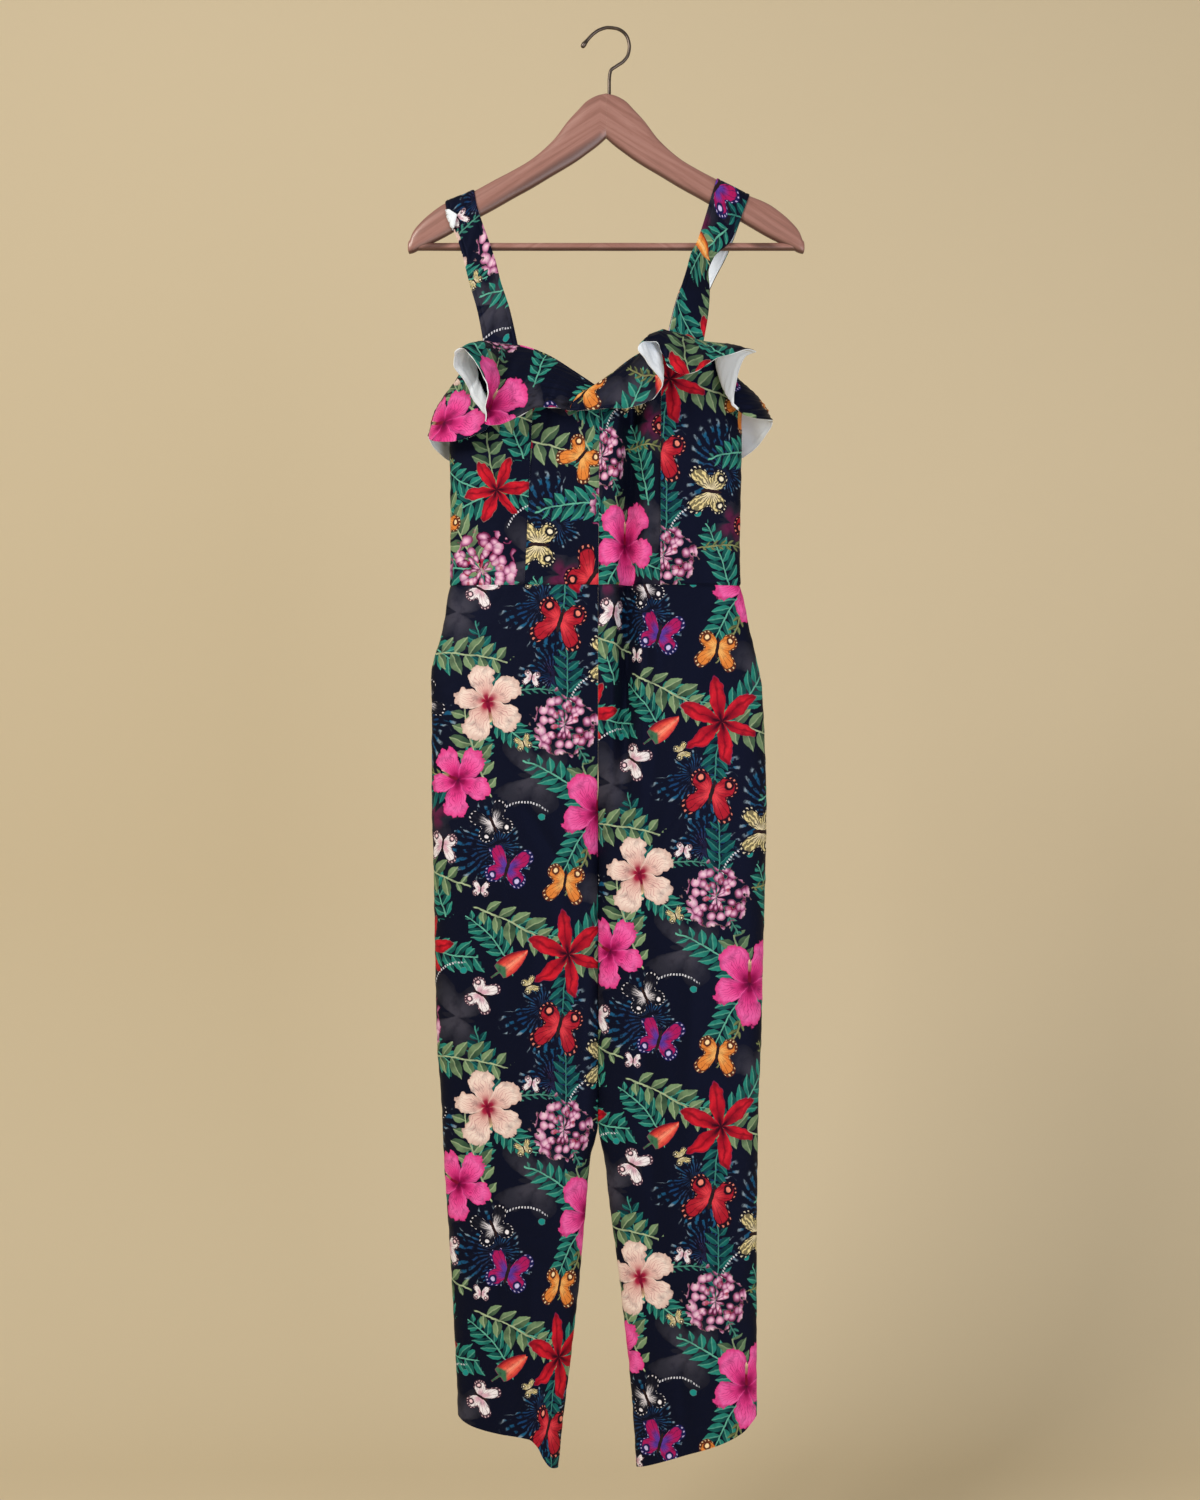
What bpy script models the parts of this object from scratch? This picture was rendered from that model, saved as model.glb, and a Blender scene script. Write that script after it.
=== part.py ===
"""A sleeveless jumpsuit with wide shoulder straps and a flounce round its neckline, on a wooden hanger.

The garment hangs from the hanger's wire hook. The origin is inside the hook's crown, where a rail bears.
+X points to the right of someone who faces the garment, -Y to that person and +Z up. Left and right are
that person's. Places along the height are given as a drop, the distance below the origin.

Each cloth piece is a wall CLOTH thick: a grid of points on the printed side, worked out from the tables
of sections below, and the same grid moved inwards. Pieces that are sewn together stand SEAM apart.
"""
import math

import bpy
import numpy as np
from mathutils import Matrix, Vector

MM = 0.001

# ---------------------------------------------------------------- driving sizes
SEAM = 0.3 * MM            # gap between two sewn pieces
CLOTH = 1.5 * MM           # thickness of the crepe
STRAP_CLOTH = 2.0 * MM     # two layers of crepe
ROUNDNESS = 2.3            # superellipse power of a filled section: 2 is an oval, more is boxier
SIDE_CROWDING = 0.65       # 0 spaces a panel's columns evenly, 1 fully crowds them at the side seam
FOLD_START = (-0.05, 0.12)  # shares of a fold's length between which it fades in, and out again
FOLD_END = (0.55, 1.0)

WAIST = 632 * MM           # drop of the waist seam
FORK = 925 * MM            # drop where the two leg tubes part
FORK_CURVE = 95 * MM       # height over which the fork seam turns under
FORK_TURN = (0.45, 0.1)    # shares of FORK_CURVE above the fork between which the seam's edge turns
LEG_ROW_POWER = 1.2        # rows of a leg lie closer together at the hips than at the hem
FLOUNCE_SEAT = 0.6 * MM    # the flounce is sewn on this far below the neck edge
FLOUNCE_GAP = 0.8 * MM     # room between the flounce's sewn edge and the bodice under it
SIDE_TURN = 0.3            # share of a flounce's length over which it turns round the side of the body
BOW_UP = 1.6               # how the back flounce's lift splits: upwards and away from the body
BOW_OUT = 0.8
BACK_SPREAD = 0.8          # below 1, the back flounce's columns open out towards its centre seam

STRAP_GAP = 0.6 * MM       # room between the strap and the hanger arm under it
ROWS_OVER_ARM = 12
STRAP_COLUMNS = 5

HANGER_CENTRE = -1.0 * MM
ARM_HALF_THICKNESS = 6.5 * MM
ARM_POWER = 2.6            # superellipse power of the arm's rounded top and bottom
ARM_SIDES = 16             # points round an arm's section
BAR_DROP = 247 * MM
BAR_RADIUS = 4.5 * MM
BAR_HALF_LENGTH = 213 * MM
SOCKET_CLEARANCE = 0.3 * MM
HOOK_RADIUS = 1.9 * MM
HOOK_POINTS = 40
STEM_ROOM = 40 * MM        # how far the stem's socket cutter reaches above the end of the stem

SHARP_ANGLE = 50           # degrees; edges bent further than this are shaded sharp


def table(columns, *rows):
    """A table in millimetres, read as one array of metres for each named column."""
    values = np.array(rows, dtype=float).T
    return {name: column * MM for name, column in zip(columns.split(), values)}


# ---------------------------------------------------------------- tables of sections
# Flat width and filled depth of the garment; front and back are measured from the side seams.
BODY = table(
    "drop left right front back",
    (340, -178, 153, 34, 28),
    (413, -178, 153, 35, 29),
    (466, -179, 153, 34, 28),
    (530, -178, 152, 30, 25),
    (590, -178, 151, 25, 22),
    (632, -179, 152, 23, 21),
    (650, -182, 156, 24, 22),
    (672, -185, 160, 26, 24),
    (694, -190, 165, 28, 26),
    (716, -197, 170, 30, 29),
    (740, -200, 175, 32, 31),
    (764, -199, 177, 33, 32),
    (808, -199, 179, 33, 33),
    (876, -199, 181, 32, 33),
    (944, -197, 180, 31, 31),
    (1058, -195, 177, 29, 28),
    (1148, -193, 175, 27, 26),
    (1216, -188, 172, 26, 25),
    (1284, -185, 171, 25, 24),
    (1374, -179, 170, 23, 22),
    (1466, -174, 170, 21, 20),
    (1570, -169, 170, 19, 18),
    (1640, -167, 170, 18, 17),
)

# Inner edges of the two legs: close together down to mid-thigh, then apart to the hems.
INSEAM = table(
    "drop left right",
    (600, -10.5, -10.1),
    (925, -10.6, -10.0),
    (990, -11, -9.5),
    (1240, -11, -9.5),
    (1284, -19, -3),
    (1330, -23, 2),
    (1374, -27, 8),
    (1420, -31, 14),
    (1466, -36, 19),
    (1510, -41, 24),
    (1556, -47, 28),
    (1600, -52, 31),
    (1640, -56, 34),
)

# Top edge of the bodice's front, from the side seams up over the cups and down to the centre seam.
NECK_LEFT = table(
    "x drop",
    (-178, 413), (-170, 399), (-157, 381), (-140, 367), (-120, 362), (-97, 365), (-69, 375), (-36, 395),
    (-9, 413),
)
NECK_RIGHT = table(
    "x drop",
    (-9, 413), (9, 394), (33, 376), (59, 365), (91, 359), (111, 363), (127, 376), (143, 395), (153, 412),
)
NECK_BACK = table("x drop", (-178, 413), (-90, 408), (-10, 407), (70, 408), (153, 412))

# Bodice seams of the front and the back, at two drops; they lean a little.
PANEL_SEAMS = table(
    "drop left_princess centre right_princess",
    (400, -82, -8.5, 61),
    (632, -93, -9.8, 60),
)

# Slanted hems: drop across each leg, as a share of the way from the side seam to the inseam.
HEM_LEFT = {
    "share": np.array([0.00, 0.05, 0.15, 0.40, 0.68, 0.77, 0.85, 0.93, 1.00]),
    "drop": np.array([1571, 1576, 1581, 1588, 1594, 1603, 1619, 1629, 1631]) * MM,
}
HEM_RIGHT = {
    "share": np.array([0.00, 0.04, 0.12, 0.30, 0.64, 1.00]),
    "drop": np.array([1571, 1577, 1588, 1600, 1614, 1630]) * MM,
}

# Large soft folds of the front: a positive depth is a trough, a negative one a ridge.
FRONT_FOLDS = table(
    "top_drop end_drop top_x end_x half_width depth",
    (395, 960, 30, 17, 10, 9),
    (395, 900, 6, 3, 10, -3),
    (395, 920, 52, 40, 12, -4),
    (400, 700, -88, -92, 12, 3),
    (930, 1330, -34, -44, 13, 5),
    (960, 1400, 30, 52, 16, 3),
    (760, 1250, 120, 132, 20, 2.5),
    (700, 1200, -140, -128, 22, 2.5),
)
BACK_FOLDS = table(
    "top_drop end_drop top_x end_x half_width depth",
    (415, 900, -60, -48, 14, 6),
    (415, 820, 46, 40, 14, 5),
    (860, 1340, -70, -86, 16, 4),
    (900, 1380, 70, 86, 16, 4),
)

# Free edge of the front flounce. Each row belongs to a share of the neckline, in thousandths, and y is
# its depth. The cloth between the neckline and the free edge is bowed: up, forward and sway push it away
# from the straight line, upwards, to the front and to the right.
FLOUNCE_LEFT = table(
    "share x drop y up forward sway",
    (0, -203, 462, -0.2, 8, 0, -7),
    (22, -202, 466, -12, 7, 5, -8),
    (42, -192, 472, -27, 12, 12, -7),
    (58, -174, 474, -38, 24, 16, -7),
    (72, -151, 469, -43, 24, 14, 2),
    (84, -134, 461, -44, 23, 16, 9),
    (100, -129, 451, -45, 21, 18, 17),
    (125, -138, 440, -47, 16, 18, 22),
    (150, -148, 431, -49, 12, 14, 22),
    (215, -158, 410, -55, 4, 4, 18),
    (270, -169, 394, -66, 5, 3, 13),
    (318, -168, 383, -80, 8, 4, 8),
    (352, -158, 381, -90, 11, 6, 3),
    (390, -142, 398, -92, 14, 7, 0),
    (440, -131, 421, -84, 16, 8, 0),
    (500, -132, 444, -74, 16, 8, 0),
    (550, -135, 459, -66, 18, 9, 0),
    (610, -121, 459, -62, 19, 10, 0),
    (680, -102, 451, -60, 19, 10, 0),
    (770, -80, 440, -58, 18, 9, -2),
    (870, -58, 439, -56, 14, 7, -6),
    (940, -47, 441, -53, 12, 6, -9),
    (1000, -42.3, 442, -51, 12, 6, -10),
)
FLOUNCE_RIGHT = table(
    "share x drop y up forward sway",
    (0, -41.7, 442, -51, 12, 6, -10),
    (70, -22, 441, -53, 13, 6, -10),
    (150, 6, 440, -56, 15, 7, -7),
    (210, 32, 438, -60, 18, 9, 0),
    (260, 52, 430, -66, 20, 10, 9),
    (300, 59, 417, -74, 22, 11, 17),
    (335, 52, 405, -84, 22, 11, 20),
    (370, 41, 394, -92, 21, 10, 16),
    (400, 33, 383, -97, 18, 9, 8),
    (430, 40, 374, -94, 19, 10, 0),
    (460, 52, 373, -88, 25, 13, 0),
    (490, 60, 386, -87, 33, 17, 0),
    (520, 67, 401, -90, 40, 20, 0),
    (555, 80, 409, -92, 38, 19, 0),
    (590, 95, 406, -90, 29, 14, 0),
    (625, 110, 396, -84, 19, 10, 0),
    (660, 125, 387, -77, 14, 7, 0),
    (690, 144, 380, -69, 11, 5, 0),
    (708, 157, 376, -62, 9, 4, -5),
    (724, 164, 380, -55, 6, 3, -12),
    (740, 158, 387, -48, 4, 2, -19),
    (780, 147, 407, -42, 0, 0, -24),
    (825, 143, 430, -40, 0, 2, -18),
    (880, 156, 446, -41, 12, 8, -4),
    (930, 174, 448, -34, 16, 8, 0),
    (970, 185, 447, -18, 14, 4, 5),
    (1000, 188, 446, -0.2, 12, 0, 7),
)
# Free edge of the back flounce, measured from its own seam: sideways, outwards and downwards.
FLOUNCE_BACK = table(
    "share sideways outwards down lift",
    (0, 0, 20, 55, 9),
    (120, 3, 16, 66, 8),
    (230, 1, 24, 74, 8),
    (330, -5, 32, 72, 10),
    (440, 0, 46, 64, 14),
    (550, 5, 27, 74, 9),
    (660, 1, 24, 76, 8),
    (770, -5, 38, 68, 12),
    (880, 0, 40, 66, 12),
    (1000, 0, 25, 74, 9),
)

# Straps, from the hanger arm down: their edges, and how far each stands out from the hanger's plane.
STRAP_LEFT_FRONT = table(
    "drop left right left_out right_out",
    (216, -176, -142, 8.9, 8.9),
    (244, -166, -133, 9.2, 9.4),
    (265, -162, -126, 12, 13),
    (289, -156, -120, 16, 17),
    (324, -146, -109, 24, 25),
)
STRAP_RIGHT_FRONT = table(
    "drop left right left_out right_out",
    (220, 109, 146, 8.9, 8.9),
    (243, 100, 136, 15, 9.4),
    (262, 94, 120, 28, 11),
    (280, 90, 115, 35, 14),
    (298, 84, 116, 36, 18),
    (326, 75, 114, 32, 26),
)
STRAP_LEFT_BACK = table(
    "drop left right left_out right_out",
    (216, -173, -143, 8.9, 8.9),
    (248, -162, -134, 9.4, 9.4),
    (300, -150, -118, 16, 17),
    (360, -136, -103, 24, 25),
)
STRAP_RIGHT_BACK = table(
    "drop left right left_out right_out",
    (220, 112, 150, 8.9, 8.9),
    (250, 104, 142, 9.4, 9.4),
    (300, 84, 122, 17, 16),
    (360, 65, 103, 25, 24),
)
STRAP_LEFT_ENDS = table("front_left front_right back_left back_right", (-138, -100, -129, -94))
STRAP_RIGHT_ENDS = table("front_left front_right back_left back_right", (67, 108, 53, 92))
STRAP_LEFT_TOP = table("left right", (-184, -151))
STRAP_RIGHT_TOP = table("left right", (121, 160))

# One hanger arm, from the centre joint out to its tip.
ARM = table(
    "out top bottom half_thickness",
    (0.2, 73, 124, 6.5),
    (9, 75, 132, 6.5),
    (21, 81, 141, 6.5),
    (32, 92, 149, 6.5),
    (43, 104, 156, 6.5),
    (60, 126, 166, 6.5),
    (85, 148, 181, 6.5),
    (105, 160, 192, 6.5),
    (126, 171, 204, 6.5),
    (152, 185, 218, 6.5),
    (183, 198, 236, 6.5),
    (199, 209, 244, 6.5),
    (211, 220, 250, 6.4),
    (219, 230, 254, 6.0),
    (223, 240, 255, 5.0),
)

# Centre line of the hook's wire, from the wood up round the crown to the ball at its tip; the
# thickness is half of the wire's, as the arm's is half of the wood's.
HOOK = table(
    "x drop thickness",
    (2.5, 90, 1.9), (2.5, 60, 1.9), (2.9, 53, 1.9), (4.2, 47, 1.9), (10.5, 42, 1.9),
    (18.5, 36.5, 1.9), (23.8, 29, 1.9), (25.4, 20, 1.9), (23.6, 10.5, 1.9), (18.2, 3.0, 1.9),
    (10, -1.0, 1.9), (1.0, -1.9, 1.9), (-8, 0.4, 1.9), (-15.5, 5.2, 1.9), (-21, 10.8, 1.9),
    (-24, 14.4, 2.3), (-26, 17.0, 2.9), (-27.6, 19.4, 2.6), (-28.7, 21.2, 1.3),
)


# ---------------------------------------------------------------- curves through a table's rows
def smooth(keys, values, at):
    """Cubic through the rows with no overshoot: level at a turn, else the harmonic mean slope beside it."""
    keys = np.asarray(keys)
    values = np.asarray(values)
    secant = np.diff(values) / np.diff(keys)
    before, after = secant[:-1], secant[1:]
    same_way = before * after > 0
    inside = np.zeros(len(before))
    inside[same_way] = 2 / (1 / before[same_way] + 1 / after[same_way])
    slopes = np.concatenate([secant[:1], inside, secant[-1:]])
    row = np.clip(np.searchsorted(keys, at) - 1, 0, len(keys) - 2)
    step = keys[row + 1] - keys[row]
    t = np.clip((at - keys[row]) / step, 0, 1)
    start = (2 * t**3 - 3 * t**2 + 1) * values[row] + (t**3 - 2 * t**2 + t) * step * slopes[row]
    end = (3 * t**2 - 2 * t**3) * values[row + 1] + (t**3 - t**2) * step * slopes[row + 1]
    return start + end


def column(rows, name, drop):
    """A table's column, read at any drop."""
    return smooth(rows["drop"], rows[name], drop)


def ramp(low, high, at):
    """0 below low, 1 above high, with a soft start and end."""
    t = np.clip((at - low) / (high - low), 0, 1)
    return t * t * (3 - 2 * t)


def spread(count, turns_at_start, turns_at_end):
    """Shares from 0 to 1, closer together at an end that turns round the body's side."""
    t = np.linspace(0, 1, count + 1)
    if turns_at_start and turns_at_end:
        turned = (1 - np.cos(math.pi * t)) / 2
    elif turns_at_start:
        turned = 1 - np.cos(math.pi * t / 2)
    elif turns_at_end:
        turned = np.sin(math.pi * t / 2)
    else:
        turned = t
    return (1 - SIDE_CROWDING) * t + SIDE_CROWDING * turned


def oval(x, low, high):
    """Depth share of a filled section at x: 0 at its two edges and 1 midway."""
    across = np.clip(np.abs((2 * x - low - high) / (high - low)), 0, 1)
    return (1 - across**ROUNDNESS) ** (1 / ROUNDNESS)


def folds(rows, x, drop):
    """Sum of the soft troughs and ridges: each is a bell across, faded in and out along its length."""
    total = np.zeros(np.shape(x))
    for top, end, top_x, end_x, half_width, depth in zip(*rows.values()):
        along = (drop - top) / (end - top)
        middle = top_x + (end_x - top_x) * along
        fade = ramp(*FOLD_START, along) * (1 - ramp(*FOLD_END, along))
        total = total + depth * fade * np.exp(-(((x - middle) / half_width) ** 2))
    return total


# ---------------------------------------------------------------- walls
ACROSS = np.array([1.0, 0, 0])
DEPTH = np.array([0, 1.0, 0])
UP = np.array([0, 0, 1.0])


def unit(vectors):
    return vectors / np.linalg.norm(vectors, axis=-1, keepdims=True)


def inner_grid(grid, thickness, held):
    """The grid moved inwards. An edge keeps its place along its held direction, so seams stay flat."""
    normal = unit(np.cross(np.gradient(grid, axis=0), np.gradient(grid, axis=1)))
    edges = {
        "first": (slice(None), 0),
        "last": (slice(None), -1),
        "top": (0, slice(None)),
        "end": (-1, slice(None)),
    }
    for edge, direction in held.items():
        along = np.sum(normal[edges[edge]] * direction, axis=-1, keepdims=True)
        normal[edges[edge]] = unit(normal[edges[edge]] - along * direction)
    return grid - normal * thickness


def wall(name, grid, thickness, held, material):
    """A closed wall. Columns run anticlockwise seen from above and rows run down, so it faces outwards.

    The faces are laid by hand because each row is a section of its own shape.
    """
    rows, columns = grid.shape[:2]
    inner_points = inner_grid(grid, thickness, held)
    points = np.concatenate([grid.reshape(-1, 3), inner_points.reshape(-1, 3)])
    outer = np.arange(rows * columns).reshape(rows, columns)
    inner = outer + rows * columns
    faces = []
    for r in range(rows - 1):
        for c in range(columns - 1):
            faces.append((outer[r, c], outer[r + 1, c], outer[r + 1, c + 1], outer[r, c + 1]))
            faces.append((inner[r, c], inner[r, c + 1], inner[r + 1, c + 1], inner[r + 1, c]))
    rim = [outer[0, c] for c in range(columns)]
    rim += [outer[r, -1] for r in range(1, rows)]
    rim += [outer[-1, c] for c in range(columns - 2, -1, -1)]
    rim += [outer[r, 0] for r in range(rows - 2, 0, -1)]
    for here, there in zip(rim, rim[1:] + rim[:1]):
        faces.append((here, there, there + rows * columns, here + rows * columns))
    return mesh_object(name, points, faces, material)


def mesh_object(name, points, faces, material):
    mesh = bpy.data.meshes.new(name)
    mesh.from_pydata([tuple(point) for point in points], [], [tuple(map(int, face)) for face in faces])
    mesh.materials.append(material)
    mesh.shade_smooth()
    mesh.set_sharp_from_angle(angle=math.radians(SHARP_ANGLE))
    thing = bpy.data.objects.new(name, mesh)
    garment.objects.link(thing)
    return thing


# ---------------------------------------------------------------- the body's surface
def surface_y(share, x, drop, facing):
    """Depth of the printed side, from its share of the full depth: facing is -1 in front and 1 behind."""
    depth = column(BODY, "front" if facing < 0 else "back", drop)
    crease = folds(FRONT_FOLDS if facing < 0 else BACK_FOLDS, x, drop)
    return facing * (SEAM / 2 + share * (depth - crease))


def body_y(x, drop, facing):
    share = oval(x, column(BODY, "left", drop), column(BODY, "right", drop))
    return surface_y(share, x, drop, facing)


def neck_drop(x, facing):
    if facing > 0:
        return smooth(NECK_BACK["x"], NECK_BACK["drop"], x)
    left = smooth(NECK_LEFT["x"], NECK_LEFT["drop"], x)
    right = smooth(NECK_RIGHT["x"], NECK_RIGHT["drop"], x)
    return np.where(x < NECK_LEFT["x"][-1], left, right)


def seam_x(line, drop, side):
    """Where a bodice seam stands at a drop; side is -1 or 1 for the piece to its left or right."""
    if line in ("left", "right"):
        return column(BODY, line, drop)
    return np.interp(drop, PANEL_SEAMS["drop"], PANEL_SEAMS[line]) + side * SEAM / 2


def bodice_panel(name, first, last, facing, columns, rows):
    """One bodice panel between two seam lines, given from left to right."""
    share = spread(columns, first == "left", last == "right")[None, :]
    top_x = seam_x(first, BODY["drop"][1], 1) * (1 - share) + seam_x(last, BODY["drop"][1], -1) * share
    top = neck_drop(top_x, facing)
    end = WAIST - SEAM / 2
    drop = top + (end - top) * np.linspace(0, 1, rows + 1)[:, None]
    x = seam_x(first, drop, 1) * (1 - share) + seam_x(last, drop, -1) * share
    grid = np.stack([x, body_y(x, drop, facing), -drop], axis=-1)
    held = [DEPTH if first == "left" else ACROSS, DEPTH if last == "right" else ACROSS]
    if facing > 0:
        grid = grid[:, ::-1]
        held.reverse()
    wall(name, grid, CLOTH, {"first": held[0], "last": held[1], "top": UP, "end": UP}, crepe)


def leg_panel(name, side, facing, columns, rows):
    """Front or back of one leg, from the waist seam to the hem and from side seam to inseam.

    Above the fork the panel is half of the body's section. Over FORK_CURVE it turns into the leg's
    own section, whose inner edge comes back to the plane of the side seams.
    """
    hem = HEM_LEFT if side == "left" else HEM_RIGHT
    share = spread(columns, True, True)[None, :]
    end = smooth(hem["share"], hem["drop"], share)
    top = WAIST + SEAM / 2
    drop = top + (end - top) * np.linspace(0, 1, rows + 1)[:, None] ** LEG_ROW_POWER
    outer = column(BODY, side, drop)
    inner = column(INSEAM, side, drop)
    x = outer + (inner - outer) * share
    whole = oval(x, column(BODY, "left", drop), column(BODY, "right", drop))
    leg = oval(x, np.minimum(outer, inner), np.maximum(outer, inner))
    forked = ramp(FORK - FORK_CURVE, FORK, drop)
    y = surface_y((1 - forked) * whole + forked * leg, x, drop, facing)
    grid = np.stack([x, y, -drop], axis=-1)
    # The inner edge is the fork seam, flat across the body, and below the fork the inseam, flat in depth.
    turn_start, turn_end = (FORK - FORK_CURVE * share_above for share_above in FORK_TURN)
    turn = ramp(turn_start, turn_end, drop[:, 0]) * math.pi / 2
    lean = facing if side == "right" else -facing
    inner_held = np.stack([np.cos(turn), lean * np.sin(turn), 0 * turn], axis=-1)
    held = [DEPTH, inner_held]
    if (side == "right") == (facing < 0):
        grid = grid[:, ::-1]
        held.reverse()
    wall(name, grid, CLOTH, {"first": held[0], "last": held[1], "top": UP, "end": UP}, crepe)


# ---------------------------------------------------------------- the flounce
def outward_at(from_side, side, facing):
    """Level direction away from the body: sideways at the side seam, then forwards or backwards."""
    turn = (1 - ramp(0, SIDE_TURN, from_side)) * math.pi / 2
    return np.stack([side * np.sin(turn), facing * np.cos(turn), 0 * turn], axis=-1)


def sewn_points(x, drop, outward, facing):
    """Where the flounce meets the bodice, FLOUNCE_GAP outside its printed side."""
    edge = np.stack([x, body_y(x, drop, facing), -drop - FLOUNCE_SEAT], axis=-1)
    return edge + outward * FLOUNCE_GAP


def bowed_rows(sewn, free, push, rows):
    """Rows from the neckline out to the free edge, each bent away from the straight line by a push."""
    t = np.linspace(0, 1, rows + 1)[:, None, None]
    bow = (sewn + free) / 2 + push
    return (1 - t) ** 2 * sewn + 2 * t * (1 - t) * bow + t**2 * free


def front_flounce(name, side, columns, rows):
    """One front half. Its tables run from left to right, so the left one starts at the side seam."""
    neck, edge = (NECK_LEFT, FLOUNCE_LEFT) if side < 0 else (NECK_RIGHT, FLOUNCE_RIGHT)
    key = edge["share"] / edge["share"][-1]
    share = smooth(np.arange(len(key)), key, np.linspace(0, len(key) - 1, columns + 1))
    length = np.concatenate([[0], np.cumsum(np.hypot(np.diff(neck["x"]), np.diff(neck["drop"])))])
    x = smooth(length / length[-1], neck["x"], share)
    x[-1 if side < 0 else 0] += side * SEAM / 2
    drop = smooth(length / length[-1], neck["drop"], share)
    outward = outward_at(share if side < 0 else 1 - share, side, -1)
    sewn = sewn_points(x, drop, outward, -1)
    free = np.stack([smooth(key, edge["x"], share), smooth(key, edge["y"], share),
                     -smooth(key, edge["drop"], share)], axis=-1)
    push = np.stack([smooth(key, edge["sway"], share), -smooth(key, edge["forward"], share),
                     smooth(key, edge["up"], share)], axis=-1)
    grid = bowed_rows(sewn, free, push, rows)
    held = {"first": DEPTH, "last": ACROSS} if side < 0 else {"first": ACROSS, "last": DEPTH}
    wall(name, grid, CLOTH, {**held, "top": outward}, crepe)


def back_flounce(name, side, columns, rows):
    """One back half. Near the side seam its free edge runs into the front half's end."""
    share = np.linspace(0, 1, columns + 1)
    side_x = NECK_BACK["x"][0 if side < 0 else -1]
    middle = NECK_BACK["x"][2] + side * SEAM / 2
    x = middle + (side_x - middle) * np.cos(share * math.pi / 2) ** BACK_SPREAD
    drop = neck_drop(x, 1)
    outward = outward_at(share, side, 1)
    sewn = sewn_points(x, drop, outward, 1)
    edge = FLOUNCE_BACK
    key = edge["share"] / edge["share"][-1]
    away = smooth(key, edge["outwards"], share)[:, None] * outward
    along = smooth(key, edge["sideways"], share)[:, None] * side * ACROSS
    free = sewn + away + along - smooth(key, edge["down"], share)[:, None] * UP
    front = FLOUNCE_LEFT if side < 0 else FLOUNCE_RIGHT
    end = 0 if side < 0 else -1
    meeting = np.array([front["x"][end], -front["y"][end], -front["drop"][end]])
    free += (meeting - free[0]) * (1 - ramp(0, SIDE_TURN, share))[:, None]
    push = smooth(key, edge["lift"], share)[:, None] * (BOW_UP * UP + BOW_OUT * outward)
    grid = bowed_rows(sewn, free, push, rows)
    held = {"first": DEPTH, "last": ACROSS, "top": outward}
    if side < 0:
        grid = grid[:, ::-1]
        held = {"first": ACROSS, "last": DEPTH, "top": outward[::-1]}
    wall(name, grid, CLOTH, held, crepe)


# ---------------------------------------------------------------- the straps
def sewn_end(left, right, across, facing):
    """A strap's end, SEAM above the bodice's top edge."""
    x = left + (right - left) * across
    drop = neck_drop(x, facing)
    return np.stack([x, body_y(x, drop, facing), SEAM - drop], axis=-1)[None]


def level_rows(rows, across, facing):
    """The rows of a strap below the hanger arm, from the highest down."""
    below = {name: values[1:, None] for name, values in rows.items()}
    x = below["left"] + (below["right"] - below["left"]) * across
    out = below["left_out"] + (below["right_out"] - below["left_out"]) * across
    return np.stack([x, facing * out, -below["drop"] + 0 * across], axis=-1)


def rows_over_arm(front, back, top, across):
    """The rows that lie on the arm: its own section, enlarged by the strap and the gap under it."""
    turn = np.linspace(0, math.pi, ROWS_OVER_ARM + 1)[:, None]
    edges = {}
    for edge in ("left", "right"):
        low = np.where(turn < math.pi / 2, back[edge][0], front[edge][0])
        edges[edge] = low + (top[edge] - low) * bulge(np.sin(turn))
    x = edges["left"] + (edges["right"] - edges["left"]) * across
    out = np.abs(x - HANGER_CENTRE)
    high = smooth(ARM["out"], ARM["top"], out)
    low = smooth(ARM["out"], ARM["bottom"], out)
    around = STRAP_GAP + STRAP_CLOTH
    y = (ARM_HALF_THICKNESS + around) * bulge(np.cos(turn)) + 0 * across
    z = ((low - high) / 2 + around) * bulge(np.sin(turn)) - (high + low) / 2
    return np.stack([x, y, z], axis=-1)


def strap(name, front, back, ends, top):
    """A strap from the back's top edge over the hanger arm and down to the front's top edge."""
    across = np.linspace(0, 1, STRAP_COLUMNS + 1)
    grid = np.concatenate([
        sewn_end(ends["back_left"], ends["back_right"], across, 1),
        level_rows(back, across, 1)[::-1],
        rows_over_arm(front, back, top, across),
        level_rows(front, across, -1),
        sewn_end(ends["front_left"], ends["front_right"], across, -1),
    ])
    wall(name, grid, STRAP_CLOTH, {"top": UP, "end": UP}, crepe)


# ---------------------------------------------------------------- the hanger
def bulge(value):
    """A circle's coordinate, pushed out to the superellipse of the hanger arm's section."""
    return np.sign(value) * np.abs(value) ** (2 / ARM_POWER)


def hanger_arm(name, side):
    """A loft of upright sections from the centre joint out to the tip; side is -1 or 1."""
    turn = np.arange(ARM_SIDES) * 2 * math.pi / ARM_SIDES
    points = []
    for out, top, bottom, half_thickness in zip(*ARM.values()):
        for angle in turn:
            y = half_thickness * bulge(math.cos(angle))
            z = (bottom - top) / 2 * bulge(math.sin(angle)) - (top + bottom) / 2
            points.append((HANGER_CENTRE + side * out, y, z))
    stations = len(ARM["out"])
    ring = np.arange(stations * ARM_SIDES).reshape(stations, ARM_SIDES)
    faces = [ring[0][::side], ring[-1][::-side]]
    for here, there in zip(ring[:-1], ring[1:]):
        for k in range(ARM_SIDES):
            following = (k + 1) % ARM_SIDES
            faces.append((here[k], there[k], there[following], here[following])[::side])
    return mesh_object(name, points, faces, beech)


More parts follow.
